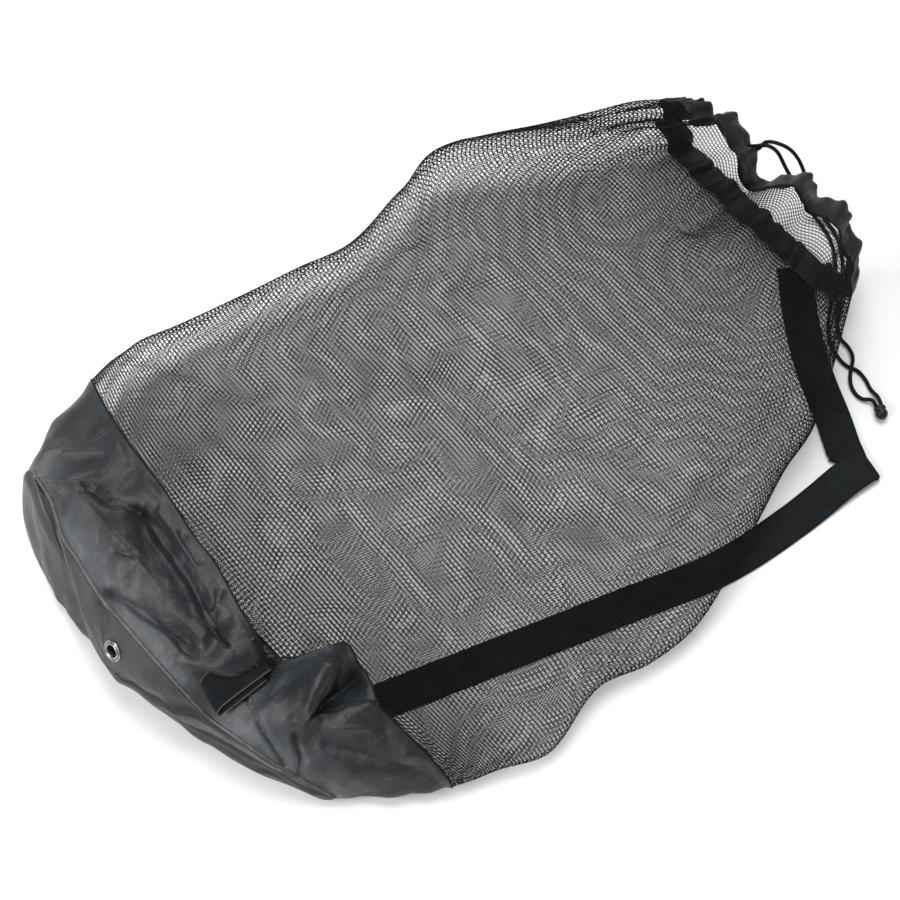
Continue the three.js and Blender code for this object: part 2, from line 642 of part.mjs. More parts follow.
const PIECES = [
  ['mesh_left_by_base', wallPanel(netRings, NET_WALL, LEFT_COLUMNS, NET_BY_BASE), NETTING],
  ['mesh_left_middle', wallPanel(netRings, NET_WALL, LEFT_COLUMNS, NET_MIDDLE), NETTING],
  ['mesh_left_by_mouth', wallPanel(netRings, NET_WALL, LEFT_COLUMNS, NET_BY_MOUTH), NETTING],
  ['mesh_right_by_base', wallPanel(netRings, NET_WALL, RIGHT_COLUMNS, NET_BY_BASE), NETTING],
  ['mesh_right_middle', wallPanel(netRings, NET_WALL, RIGHT_COLUMNS, NET_MIDDLE), NETTING],
  ['mesh_right_by_mouth', wallPanel(netRings, NET_WALL, RIGHT_COLUMNS, NET_BY_MOUTH), NETTING],
  ['base_wall_left', wallPanel(wallRings, BASE_CLOTH, LEFT_COLUMNS, WALL_LENGTH), COATED_CLOTH],
  ['base_wall_right', wallPanel(wallRings, BASE_CLOTH, RIGHT_COLUMNS, WALL_LENGTH), COATED_CLOTH],
  ['base_panel', drilledPanel(eyeletSpot), COATED_CLOTH],
  ['eyelet', eyeletRing(eyeletSpot), METAL],
  ['base_tab', webbing(TAB_ROWS, TAB_WIDTH, TAB_THICK), WEBBING],
  ['collar', tubeWall(hemRings, HEM_WALL), HEM_CLOTH],
  ['shoulder_strap', webbing(STRAP_ROWS, STRAP_WIDTH, STRAP_THICK), WEBBING],
  ['drawcord_inner', cordTube(CORD_INNER), CORD],
  ['drawcord_outer', cordTube(CORD_OUTER), CORD],
  ['cord_bead', beadBody(), BEAD],
];

const bag = new THREE.Group();
bag.position.set(...MIDDLE);
for (const [name, geometry, material] of PIECES) {
  const mesh = new THREE.Mesh(geometry, material);
  mesh.name = name;
  bag.add(mesh);
}

export default bag;
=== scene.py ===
import math

import bmesh
import bpy
import numpy as np
from mathutils import Matrix, Vector, noise


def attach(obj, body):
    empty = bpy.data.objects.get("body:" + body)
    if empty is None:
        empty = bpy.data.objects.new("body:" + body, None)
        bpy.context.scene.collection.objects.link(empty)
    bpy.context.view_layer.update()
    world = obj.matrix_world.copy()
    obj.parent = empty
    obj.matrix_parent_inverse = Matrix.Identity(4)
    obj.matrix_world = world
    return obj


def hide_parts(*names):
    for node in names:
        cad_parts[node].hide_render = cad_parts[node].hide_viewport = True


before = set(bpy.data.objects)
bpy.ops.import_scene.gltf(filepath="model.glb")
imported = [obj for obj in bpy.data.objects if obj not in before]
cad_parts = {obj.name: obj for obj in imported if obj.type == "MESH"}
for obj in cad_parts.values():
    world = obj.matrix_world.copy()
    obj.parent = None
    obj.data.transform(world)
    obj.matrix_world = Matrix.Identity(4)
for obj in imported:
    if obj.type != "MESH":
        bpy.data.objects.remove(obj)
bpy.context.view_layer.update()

# The bag's tables are in millimetres, as its maker measures it, and become metres in metres()
MM = 0.001
MIDDLE = np.array([4.8, -1.6, 0.0])

# Photograph: the floor point at its middle, the viewing angle, the distance and half the view's width
VIEW_AIM = (-0.0222, 0.0114, 0.0)
VIEW_AZIMUTH = -40.4
VIEW_ELEVATION = 66.0
VIEW_DISTANCE = 1.9
VIEW_HALF_WIDTH = 0.3825

# Stations of the base rim, of the net's lower and upper seams, and of the mouth's edge
RIM_AT = -362
NET_SEAM_AT = -255
COLLAR_AT = 321
MOUTH_AT = 346

# Sections of the bag: widest points and their heights, the crest, the shoulder and the drawn-in ends
SECTION_COLUMNS = ("at", "left", "crest_y", "right", "left_rise", "right_rise", "crest", "sharp",
                   "left_ahead", "right_ahead", "lean")
SECTIONS = np.array([
    (-362, 204, 80, -160, 50, 10, 80, 1.8, 26, 66, 22),
    (-310, 226, 70, -190, 46, 12, 88, 1.5, 26, 50, 12),
    (-255, 240, 50, -215, 42, 14, 90, 1.3, 24, 36, 4),
    (-190, 247, 40, -229, 38, 14, 84, 1.1, 8, 10, 0),
    (-140, 238, 30, -244, 35, 13, 80, 1.0, 0, 0, 0),
    (-75, 224, 20, -229, 34, 13, 82, 0.95, 0, 0, 0),
    (-30, 215, 15, -241, 34, 14, 86, 0.95, 0, 0, 0),
    (20, 203, 10, -242, 35, 15, 94, 0.95, 0, 0, 0),
    (85, 215, 10, -222, 36, 17, 104, 0.9, 0, 0, 0),
    (130, 223, 10, -205, 40, 19, 112, 0.9, 0, 0, 0),
    (170, 204, 10, -190, 46, 21, 118, 0.85, 0, 0, 0),
    (215, 178, 10, -178, 52, 26, 120, 0.8, 0, 0, 0),
    (265, 153, 10, -148, 56, 36, 114, 0.75, 0, 0, 0),
    (300, 138, 12, -124, 56, 42, 102, 0.7, 0, 0, 0),
    (330, 120, 14, -104, 54, 44, 88, 0.7, 0, 0, 0),
    (352, 112, 14, -92, 50, 42, 78, 0.7, 0, 0, 0),
], float)
LEFT_SHOULDER = 0.7
AHEAD_POWER = 3
FLAT_GAIN = 1.25
FLAT_POWER = 0.7

# By degrees round from the left side: drift of the net's lower seam, tuck of the rim, reach of the mouth
SEAM_DRIFT = ((0, 0), (70, 2), (92, -6), (111, -20), (116.3, -28), (119.3, 34), (125, 28), (137, 12), (180, 0))
RIM_TUCK = ((0, 1), (25, 9), (48, 13), (72, 5), (95, 0), (190, 0), (215, 8), (240, 12), (262, 9),
            (310, 5), (340, 1))
MOUTH_REACH = ((0, -13), (39, -6), (50, -13), (58, -1), (77, -6), (87, -17), (97, -4), (107, 7),
               (117, 0), (126, 12), (156, 2), (180, -6), (270, -10))
HEM_FOLLOW = 0.8
NET_FOLLOW_FROM = 0.62

# Gathers below the mouth
GATHERS = 15
FIRST_GATHER = 36
GATHER_HEIGHT = 5.5
GATHER_FADE_AT = 190

# Swells of the top: x, y, radius along, radius across, height
SWELLS = ((165, 54, 95, 45, 9), (160, -60, 105, 45, 10), (-80, 25, 75, 55, 8))

# Folds of the top, each along a line seen from above: x1, y1, x2, y2, width, depth
FOLDS = (
    (-322, 182, -290, 148, 10, 6),
    (-306, 214, -262, 196, 9, -6),
    (-275, 100, -290, -14, 11, -10),
    (-334, 61, -307, -23, 10, -8),
    (-262, -62, -326, -58, 21, -14),
    (-236, -80, -286, -105, 11, 9),
    (-240, -116, -284, -122, 12, -9),
    (-190, 244, -143, 137, 11, -7),
    (98, 212, 54, 160, 13, -9),
    (144, 194, 260, 92, 13, 6),
    (189, -168, -5, -196, 12, -8),
    (137, -190, -52, -214, 11, 6),
    (-95, -214, -180, -206, 13, -8),
    (356, 18, 232, 4, 17, -26),
    (330, 56, 236, 68, 13, 7),
    (330, -38, 215, -30, 13, 7),
    (322, -80, 208, -104, 13, 6),
)
FOLD_GAIN = 1.8

# Strap: rows of x, y, z, direction of the width, tilt, roll of the face, share of the width
STRAP_WIDTH = 31
STRAP_THICK = 2
STRAP_ROWS = (
    (318, -50, 1.1, -37, 0, 0, 1),
    (290, -86, 1.1, -36, 0, 0, 1),
    (266, -124, 1.1, -31, 0, 0, 1),
    (253, -150, 1.1, -27, 0, 0, 1),
    (241, -177, 1.7, -26, 0, 0, 1),
    (228, -202, 3.4, -26, 0, 0, 1),
    (221, -217.5, 3.5, -58, 0, 0, 1.15),
    (219.9, -218.1, 2.3, -58, 0, -90, 1.15),
    (221, -217.5, 1.1, -58, 0, -180, 1.15),
    (232, -227.6, 1.1, -100, 0, -180, 1),
    (234.4, -228, 3.5, -100, 0, -270, 0.9),
    (232, -227.6, 5.9, -100, 0, -360, 1),
    (208, -225, 5.6, -94, 0, -360, 1),
    (180, -224.5, 2.6, -92, 0, -360, 1),
    (150, -223.5, 1.1, -92, 0, -360, 1),
    (100, -219, 1.1, -97, 0, -360, 1),
    (60, -211, 1.1, -104, 0, -360, 1),
    (0, -191, 1.1, -108, 0, -360, 1),
    (-80, -165, 1.1, -108, 0, -360, 1),
    (-150, -142, 1.1, -108, 0, -360, 1),
    (-268, -103, 1.1, -108, 0, -360, 1),
)
STRAP_LIFT = 3
LIFT_HALF = 38
LIFT_FALL = 26

# Tab of webbing on the base wall, an open loop, in rows like the strap's
TAB_WIDTH = 29
TAB_THICK = 1.6
TAB_ROWS = (
    (-273, -51.4, 79.5, -100, -28, 0, 1),
    (-318, -47, 69, -100, -28, 0, 1),
    (-324.6, -48.2, 67.4, -100, -28, -50, 1),
    (-326.6, -49.4, 64.8, -100, -28, -110, 1),
    (-324.4, -50.4, 62.4, -100, -28, -180, 1),
    (-280, -54.2, 73, -100, -28, -180, 1),
)

# Drawcord: two runs out of the hem at the mouth's gap, over it, down in front and along the floor
CORD_DIAMETER = 3.4
CORD_INNER = (
    (331.5, 36.8, 75.2), (340.4, 32.6, 73.4), (341.4, 30.6, 79), (343, 26.6, 83), (345, 20.6, 83.6),
    (346.4, 15.6, 80.6), (348, 11.4, 73.5), (350.4, 7.4, 63.5), (354, 2, 50.5), (358, -6, 33), (362, -16, 16),
    (365, -26, 6), (365, -37, 2.4), (361, -51, 1.9), (352, -66, 1.8), (338, -81, 1.8), (320, -95, 1.8),
    (303, -108, 1.8), (291, -122, 1.8), (285.5, -136, 1.8), (285, -150, 1.8), (288.5, -158, 1.8),
    (288, -168, 1.8), (284.5, -179, 2.2), (283.2, -188.2, 4.2), (279.8, -195.4, 5.6),
)
CORD_OUTER = (
    (334, 39.4, 75.6), (344.6, 33.6, 73.6), (345.8, 31.2, 79.4), (347.6, 27, 83.8), (350.6, 20, 86),
    (354.6, 11.6, 84.4), (357.6, 4, 78), (360, -1.6, 68), (363.2, -6.6, 52), (367, -12, 33), (369, -18, 16),
    (371, -27, 6), (371, -39, 2.4), (367, -54, 1.9), (357, -70, 1.8), (342, -86, 1.8), (325, -100, 1.8),
    (310, -112, 1.8), (300, -125, 1.9), (297.5, -139, 3.4), (292, -148.5, 5.8), (284, -154.5, 5.8),
    (277, -161, 3.6), (272.5, -170, 2), (272.5, -180, 2.2), (277.2, -187, 4.2), (275.5, -193.3, 5.6),
)

# Crisp creases and ridges of the base cloth: width, depth and corners of the line seen from above
CREASES = (
    (4.5, -7, ((-273, 103), (-276, 82), (-282, 28), (-288, 8), (-291, -14), (-291, -30))),
    (9, 4, ((-264, 92), (-268, 60), (-272, 30), (-277, 4))),
    (5.5, -6, ((-333, 67), (-324, 31), (-319, 4), (-317, -20))),
    (26, 9, ((-304, 140), (-303, 96), (-304, 50), (-306, 10), (-304, -12))),
    (8, -5, ((-309, 87), (-304, 75))),
    (8, -6, ((-296, 147), (-289, 129), (-275, 108))),
    (7, 5, ((-321, 180), (-296, 149))),
    (7, -4, ((-298, 213), (-278, 199), (-255, 184))),
    (7, 3, ((-290, 190), (-268, 168))),
    (8, -5, ((-243, -79), (-265, -93), (-286, -104))),
    (16, -13, ((-262, -110), (-230, -112))),
    (6, -6, ((-292, -112), (-298, -128), (-305, -133))),
    (9, -4, ((-276, -135), (-253, -168), (-236, -188))),
    (10, 4, ((-268, -128), (-248, -146))),
    (6, -3, ((-262, 66), (-266, 38))),
    (6, -3, ((-267, 8), (-281, -2))),
    (4, -5, ((-302.4, -66), (-309, -93), (-311, -122))),
)

# Folds that lap over what lies to the right of their line: width, height and corners seen from above
LAPS = (
    (26, 15, ((-328, -12), (-316, -30), (-299, -51), (-283, -57), (-268, -60))),
    (16, 7, ((-291, -26), (-288, 8), (-282, 28), (-276, 82), (-272, 106))),
    (15, 18, ((-289, -112), (-256, -106), (-229, -89))),
    (16, 8, ((-226, -137), (-236, -132), (-252, -122), (-268, -115), (-290, -109))),
    (14, 6, ((-316, -22), (-319, 4), (-324, 31), (-334, 69))),
)
LAP_EDGE = 2.5
LAP_TAPER = 0.22

# End panel and its eyelet
PANEL_CENTRE = (-351, 26, 38)
PANEL_SWELL = 13
PANEL_STAND_OFF = 3.3
PANEL_FOLDS = (
    (150, 62, 60, 20, 9, -3), (110, 70, 20, 30, 8, 2), (60, 72, -20, 22, 9, -3), (0, 66, -60, 18, 8, 2),
    (-40, 52, -110, 12, 8, -2), (170, 40, 120, 12, 9, 2),
)
EYELET_SHARE = 0.48
EYELET_DEG = 99
EYELET_CLEAR = 7.2
EYELET_CALM = 24
EYELET_STEPS = 48
EYELET_OUTLINE = (
    (6.1, -3.2), (5.9, -0.4), (5.4, 0.7), (5.5, 1.4), (5.9, 1.8), (6.4, 1.7), (6.8, 1.2), (7.1, 0.1), (7.5, -0.2),
    (7.9, 0.1), (8.2, 0.9), (8.6, 1.2), (9.1, 0.9), (9.2, 0.0), (8.8, -0.6), (6.6, -0.6), (6.6, -1.7), (9.0, -1.7),
    (9.0, -2.4), (7.0, -3.2),
)

# Fineness of the modelled cloth: facets around and along
WALL_GRID = (520, 64)
WALL_TOP_SHARE = 0.75
WALL_TOP_DEG = 195
PANEL_GRID = (240, 48)
HEM_GRID = (16, 432)
PIPING_GRID = (8, 288)

# Facets of the crumpled base cloth: heading of each run of folds, its wavelength and its height
FACET_RUNS = (
    (0.9, 0.3, 0.3, 66, 3.6), (-0.4, 0.9, 0.2, 52, 3.2), (0.5, -0.7, 0.5, 39, 2.8), (0.2, 0.5, 0.9, 58, 2.8),
    (-0.8, 0.5, 0.3, 31, 2.2), (0.3, 0.9, -0.3, 23, 1.6),
)
FACET_WARP = 18
FACET_WARP_SIZE = 75
FACET_PATCH = 60
FINE_DENT = 0.6
PANEL_CRUMPLE = 0.5
CRUMPLE_STEP = 5.0
FINE_DENT_SIZE = 14
WALL_CALM = 0.1

# Fine pleats of the collar: number, height and drift by degrees round the mouth
PLEATS = 41
PLEAT_HEIGHT = 2.4
PLEAT_DRIFT = ((0, 0), (40, 0.8), (95, 0.1), (150, 1.0), (210, 0.3), (280, 0.9))

# Cloth thicknesses, and radii of the piping on the rim and of the rolled edge at the net
BASE_CLOTH = 1.2
HEM_THICK = 3.4
PIPING_RADIUS = 1.9
PIPING_STAND_OFF = 1.2
ROLL_RADIUS = 1.0

# Net: half cells around, rows, strand radius, and how far its holes' corners leave the row's line
NET_QUARTERS = ("mesh_net_left", "mesh_net_top", "mesh_net_right", "mesh_net_under")
NET_COLUMNS = 114
NET_ROWS = 172
NET_SEAM_GAP = 1.0
NET_TUCK = 2.0
NET_INSET = 0.7
NET_FROM = NET_SEAM_AT + min(drift for deg, drift in SEAM_DRIFT)
SEAM_STRETCH = 5.0
NET_STRAY = 3.2
NET_STRAY_SIZE = 45
NET_GIRTH_PER_DEGREE = 2.8
STRAND_RADIUS = 0.35
STRAND_THINNING = (1.05, 0.7)
STRAND_SIDES = 3
CORNER_SHARE = 0.17
EVEN_SAMPLES = 1080

# Webbing ribs: pitch and height as a share of half the thickness
RIB_PITCH = 1.7
RIB_STEPS = 4
RIB_SHARE = 0.22
RIBBON_SIDES = 16
TAB_RIBS = 14
TAB_SIDES = 144
TAB_STEP = 1.6
# Painted highlight along the tab's edges: the share of the width over which it fades in, and its colour
EDGE_HIGHLIGHT_SPAN = (0.24, 0.215)
EDGE_HIGHLIGHT_COLOUR = (0.085, 0.092, 0.096)

# Bead on the cord ends: its place, heading and outline by radius and length, in millimetres
BEAD_START = (277.2, -195.2, 5.6)
BEAD_HEADING = (-0.45, -0.89, 0)
BEAD_STEPS = 36
BEAD_OUTLINE = (
    (0.0, 0.0), (1.9, 0.0), (2.1, 0.5), (3.9, 0.3), (4.7, 0.8), (5.3, 1.9), (5.4, 2.9), (5.0, 3.7), (4.8, 4.5),
    (4.9, 5.4), (5.4, 6.4), (5.4, 7.8), (5.0, 9.2), (4.3, 10.4), (3.2, 11.6), (2.0, 12.3), (0.0, 12.6),
)

# Side seam of the base wall: its ends seen from above, and its stitches
SEAM_LINE = ((-301.5, -66), (-308, -93), (-310, -122))
STITCH_PITCH = 5.2
STITCH_SIZE = (3.8, 1.0, 0.8)
STITCH_STRAY = 0.9
TOP_ABOVE = 30

# Painted light on the cloth above the rim, a paler strip standing in for the lit facets there: where it ends and is
# full, in metres up the wall's cut, and its colour
PAINTED_RIM_LIGHT_SPAN = (0.044, 0.010)
PAINTED_RIM_LIGHT_COLOUR = (0.066, 0.072, 0.077)

MERGE = 1e-6

# Studio, in metres and watts
FLOOR_SIZE = 8.0
FLOOR_DROP = 0.0003
SURROUND_STRENGTH = 0.4
KEY_PLACE = (-2.1, 0.4, 1.5)
KEY_SIZE = 1.5
KEY_POWER = 52
TOP_PLACE = (0.9, 0.9, 3.1)
TOP_SIZE = 2.0
TOP_POWER = 88

# Solids that the dressed pieces stand for
NET_NODES = ("mesh_left_by_base", "mesh_left_middle", "mesh_left_by_mouth",
             "mesh_right_by_base", "mesh_right_middle", "mesh_right_by_mouth")
WALL_NODES = ("base_wall_left", "base_wall_right")


def mix(a, b, t):
    return a + (b - a) * t


def ease(t):
    return t * t * (3 - 2 * t)


def clamp01(t):
    return np.clip(t, 0.0, 1.0)


def metres(points):
    """Points of the tables' frame as points of the scene."""
    return (np.asarray(points, float) + MIDDLE) * MM


def section(name, at):
    """One column of the section table at any stations, on a smooth curve through its rows."""
    stations = SECTIONS[:, 0]
    values = SECTIONS[:, SECTION_COLUMNS.index(name)]
    rows = np.arange(len(stations))
    ahead = np.minimum(rows + 1, rows[-1])
    behind = np.maximum(rows - 1, 0)
    slopes = (values[ahead] - values[behind]) / (stations[ahead] - stations[behind])
    at = np.clip(at, stations[0], stations[-1])
    i = np.clip(np.searchsorted(stations, at) - 1, 0, rows[-1] - 1)
    step = stations[i + 1] - stations[i]
    t = (at - stations[i]) / step
    curve = slopes[i] * step * t * (1 - t) ** 2 - slopes[i + 1] * step * (1 - t) * t ** 2
    return mix(values[i], values[i + 1], ease(t)) + curve


def by_angle(rows, deg):
    """A table's value by angle, eased from row to row all the way round."""
    angles = np.array([row[0] for row in rows] + [rows[0][0] + 360.0])
    values = np.array([row[1] for row in rows] + [rows[0][1]], float)
    deg = np.mod(deg, 360.0)
    i = np.clip(np.searchsorted(angles, deg, side="right") - 1, 0, len(angles) - 2)
    t = (deg - angles[i]) / (angles[i + 1] - angles[i])
    return mix(values[i], values[i + 1], ease(t))


def line_distance(x, y, x1, y1, x2, y2):
    """Distance in plan from points to a straight line between two ends."""
    along = clamp01(((x - x1) * (x2 - x1) + (y - y1) * (y2 - y1)) / ((x2 - x1) ** 2 + (y2 - y1) ** 2))
    return np.hypot(x - mix(x1, x2, along), y - mix(y1, y2, along))


def crease_distance(x, y, corners):
    """Distance in plan from points to a line with corners."""
    spans = [line_distance(x, y, *a, *b) for a, b in zip(corners, corners[1:])]
    return np.min(spans, axis=0)


def lap_height(x, y, width, height, corners):
    """A fold that is highest along its line, falls off to the left and drops at once to the right."""
    nearest = np.full_like(x, np.inf)
    rise = np.zeros_like(x)
    spans = len(corners) - 1
    for i, ((x1, y1), (x2, y2)) in enumerate(zip(corners, corners[1:])):
        long = math.hypot(x2 - x1, y2 - y1)
        off = line_distance(x, y, x1, y1, x2, y2)
        share = (i + clamp01(((x - x1) * (x2 - x1) + (y - y1) * (y2 - y1)) / long ** 2)) / spans
        side = ((x2 - x1) * (y - y1) - (y2 - y1) * (x - x1)) / long
        taper = ease(clamp01(share / LAP_TAPER)) * ease(clamp01((1 - share) / LAP_TAPER))
        here = np.where(side > 0, np.exp(-((off / width) ** 2)), ease(clamp01(1 - off / LAP_EDGE))) * taper
        rise = np.where(off < nearest, here, rise)
        nearest = np.minimum(nearest, off)
    return height * rise


def fold_height(x, y):
    """How far swells, soft folds and crisp creases push the top out at places seen from above."""
    height = np.zeros_like(x)
    for centre_x, centre_y, along, across, rise in SWELLS:
        height += rise * np.exp(-(((x - centre_x) / along) ** 2) - ((y - centre_y) / across) ** 2)
    for x1, y1, x2, y2, width, depth in FOLDS:
        height += depth * np.exp(-((line_distance(x, y, x1, y1, x2, y2) / width) ** 2))
    for width, depth, corners in CREASES:
        height += depth * clamp01(1 - crease_distance(x, y, corners) / width) ** 2
    for width, rise, corners in LAPS:
        height += lap_height(x, y, width, rise, corners)
    return height


def strap_lift(x, y):
    """How high the underside is held by the strap at places seen from above."""
    off = np.full_like(x, np.inf)
    for a, b in zip(STRAP_ROWS, STRAP_ROWS[1:]):
        off = np.minimum(off, line_distance(x, y, a[0], a[1], b[0], b[1]))
    return STRAP_LIFT * ease(clamp01((LIFT_HALF + LIFT_FALL - off) / LIFT_FALL))


def bag_points(at, deg, reach=0.0):
    """Outer surface of the bag by stations along it and degrees round from its left side over the top."""
    at, deg = np.broadcast_arrays(np.asarray(at, float), np.asarray(deg, float))
    c = np.cos(np.radians(deg))
    s = np.sin(np.radians(deg))
    on_left = c >= 0
    side = np.where(on_left, section("left", at), section("right", at)) - section("crest_y", at)
    crest = section("crest", at)
    rise = mix(section("right_rise", at), section("left_rise", at), (1 + c) / 2)
    shoulder = np.where(on_left, LEFT_SHOULDER, section("sharp", at))
    above = rise + (crest - rise) * np.maximum(s, 0.0) ** shoulder
    below = rise * (1 - np.minimum(1.0, FLAT_GAIN * np.abs(s) ** FLAT_POWER))
    y = section("crest_y", at) + side * np.abs(c)
    z = np.where(s > 0, above, below)
    ahead = np.where(on_left, section("left_ahead", at), section("right_ahead", at)) * np.abs(c) ** AHEAD_POWER
    x = at + ahead + section("lean", at) * z / crest + reach

    fade = ease(clamp01((at - GATHER_FADE_AT) / (MOUTH_AT - GATHER_FADE_AT)))
    push = GATHER_HEIGHT * fade * np.cos(np.radians(GATHERS * (deg - FIRST_GATHER)))
    push = push + fold_height(x, y) * clamp01(FOLD_GAIN * s)
    out_y = c / np.abs(side)
    out_z = s / crest
    size = np.hypot(out_y, out_z)
    y = y + push * out_y / size
    z = z + push * out_z / size
    return np.stack([x, y, np.maximum(z, strap_lift(x, y))], axis=-1)


def bag_normals(at, deg, reach=0.0, step=0.5):
    """Directions out of the bag's surface, over steps that may pass by its fine folds."""
    along = bag_points(at + step, deg, reach) - bag_points(at - step, deg, reach)
    around = bag_points(at, deg + step, reach) - bag_points(at, deg - step, reach)
    normal = np.cross(around, along)
    return normal / np.linalg.norm(normal, axis=-1, keepdims=True)


def seam_at(deg):
    return NET_SEAM_AT + by_angle(SEAM_DRIFT, deg)


def rim_tuck(deg):
    return by_angle(RIM_TUCK, deg)


def hem_reach(deg, share):
    return by_angle(MOUTH_REACH, deg) * mix(HEM_FOLLOW, 1.0, share)


def cloud(points, size, shift=0.0):
    """Smooth random values from about -1 to 1."""
    return np.array([noise.noise(Vector(p) / size + Vector((shift, shift, shift))) for p in points])


def crumple(points):
    """Flat facets between sharp folds, with small dents on them, as stiff coated cloth has."""
    warp = np.array([noise.noise_vector(Vector(p) / FACET_WARP_SIZE) for p in points])
    drawn = points + FACET_WARP * warp
    height = FINE_DENT * cloud(points, FINE_DENT_SIZE)
    for k, (x, y, z, length, rise) in enumerate(FACET_RUNS):
        phase = drawn @ np.array((x, y, z)) / length + 0.37 * k
        fold = 4 * np.abs(phase - np.floor(phase + 0.5)) - 1
        height += rise / 2 * fold * clamp01(0.5 + 1.3 * cloud(points, FACET_PATCH, 7.1 * k))
    return height


def grid_object(name, grid, place, uv_size, closed=False):
    """A smooth grid whose shares across and along, from 0 to 1, are placed by a function."""
    bm = bmesh.new()
    bmesh.ops.create_grid(bm, x_segments=grid[0], y_segments=grid[1], size=0.5)
    bm.verts.ensure_lookup_table()
    shares = np.array([v.co for v in bm.verts])[:, :2] + 0.5
    layer = bm.loops.layers.uv.new("UVMap")
    for face in bm.faces:
        face.smooth = True
        for loop in face.loops:
            share = shares[loop.vert.index]
            loop[layer].uv = (share[0] * uv_size[0], share[1] * uv_size[1])
    for vert, point in zip(bm.verts, place(shares[:, 0], shares[:, 1])):
        vert.co = point
    bmesh.ops.remove_doubles(bm, verts=bm.verts, dist=MERGE)
    if closed:
        bmesh.ops.recalc_face_normals(bm, faces=bm.faces)
    return mesh_object(name, bm)


def mesh_object(name, bm):
    mesh = bpy.data.meshes.new(name)
    bm.to_mesh(mesh)
    bm.free()
    piece = bpy.data.objects.new(name, mesh)
    bpy.context.scene.collection.objects.link(piece)
    return piece


def fit(piece, material, slot, *nodes):
    """Gives a piece its finish and puts it in the place of its solids; the slot is not used."""
    piece.data.materials.clear()
    piece.data.materials.append(material)
    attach(piece, "root")
    if nodes:
        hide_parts(*nodes)
    return piece


def thicken(piece, thickness):
    """Gives a sheet its thickness on the inner side."""
    wall = piece.modifiers.new("cloth", "SOLIDIFY")
    wall.thickness = thickness * MM
    wall.offset = -1.0


def wall_points(u, v):
    """Base wall: round the bag by u, from the rim to the net by v, with its dents."""
    deg = np.interp(u, (0, WALL_TOP_SHARE, 1), (0, WALL_TOP_DEG, 360))
    at = mix(RIM_AT, seam_at(deg), v)
    reach = rim_tuck(deg) * (1 - v)
    points = bag_points(at, deg, reach)
    calm = ease(clamp01(v / WALL_CALM)) * ease(clamp01((1 - v) / WALL_CALM))
    points = points + bag_normals(at, deg, reach, CRUMPLE_STEP) * (calm * crumple(points))[:, None]
    points[:, 2] = np.maximum(points[:, 2], 0.0)
    return metres(points)


def plain_panel_points(share, deg):
    """End panel without its wrinkles, from its middle to the rim."""
    rim = bag_points(np.full_like(deg, RIM_AT), deg, rim_tuck(deg))
    points = mix(np.array(PANEL_CENTRE, float), rim, share[:, None])
    points[:, 0] -= PANEL_SWELL * (1 - share ** 2) + PANEL_STAND_OFF
    return points


def eyelet_place():
    """The eyelet's middle on the panel and the direction it faces, in millimetres."""
    step = 0.02
    share = np.array([0, step, 0]) + EYELET_SHARE
    deg = np.array([0, 0, 100 * step]) + EYELET_DEG
    middle, along, around = plain_panel_points(share, deg)
    facing = np.cross(around - middle, along - middle)
    return middle, facing / np.linalg.norm(facing)


def panel_points(u, v):
    """End panel: round it by u, from its middle to the rim by v, with its folds and dents."""
    points = plain_panel_points(v, 360.0 * u)
    y, z = points[:, 1], points[:, 2]
    lift = PANEL_CRUMPLE * crumple(points)
    for y1, z1, y2, z2, width, depth in PANEL_FOLDS:
        lift += depth * np.exp(-((line_distance(y, z, y1, z1, y2, z2) / width) ** 2))
    from_eyelet = np.linalg.norm(points - eyelet_place()[0], axis=1)
    lift *= ease(clamp01((1 - v) / WALL_CALM)) * ease(clamp01(from_eyelet / EYELET_CALM - 0.4))
    points[:, 0] -= lift
    return metres(points)


def make_base_wall():
    piece = grid_object("base_wall_cloth", WALL_GRID, wall_points, (1.0, 0.11))
    thicken(piece, BASE_CLOTH)
    return piece


def make_base_panel():
    """The end panel, open where the eyelet is set."""
    piece = grid_object("base_panel_cloth", PANEL_GRID, panel_points, (1.0, 0.18))
    middle = Vector(metres(eyelet_place()[0]))
    bm = bmesh.new()
    bm.from_mesh(piece.data)
    hole = [f for f in bm.faces if (f.calc_center_median() - middle).length < EYELET_CLEAR * MM]
    bmesh.ops.delete(bm, geom=hole, context="FACES")
    bm.to_mesh(piece.data)
    bm.free()
    thicken(piece, BASE_CLOTH)
    return piece


def ring_tube(name, grid, path, radius):
    """A tube round the bag on a path that gives points and outward directions by degrees."""
    def place(u, v):
        deg = 360.0 * v
        middle, out = path(deg)
        tangent = path(deg + 0.25)[0] - path(deg - 0.25)[0]
        tangent /= np.linalg.norm(tangent, axis=1, keepdims=True)
        beside = np.cross(tangent, out)
        turn = 2 * np.pi * u[:, None]
        return metres(middle + radius * (np.cos(turn) * out + np.sin(turn) * beside))
    return grid_object(name, grid, place, (2 * math.pi * radius * MM, 1.0), closed=True)


def rim_path(deg):
    reach = rim_tuck(deg)
    at = np.full_like(deg, RIM_AT)
    out = bag_normals(at, deg, reach)
    middle = bag_points(at, deg, reach) - 0.5 * PIPING_RADIUS * out - np.array([PIPING_STAND_OFF, 0, 0])
    middle[:, 2] = np.maximum(middle[:, 2], PIPING_RADIUS)
    return middle, out


def roll_path(deg):
    at = seam_at(deg)
    out = bag_normals(at, deg)
    middle = bag_points(at, deg) - 0.4 * ROLL_RADIUS * out
    middle[:, 2] = np.maximum(middle[:, 2], ROLL_RADIUS)
    return middle, out


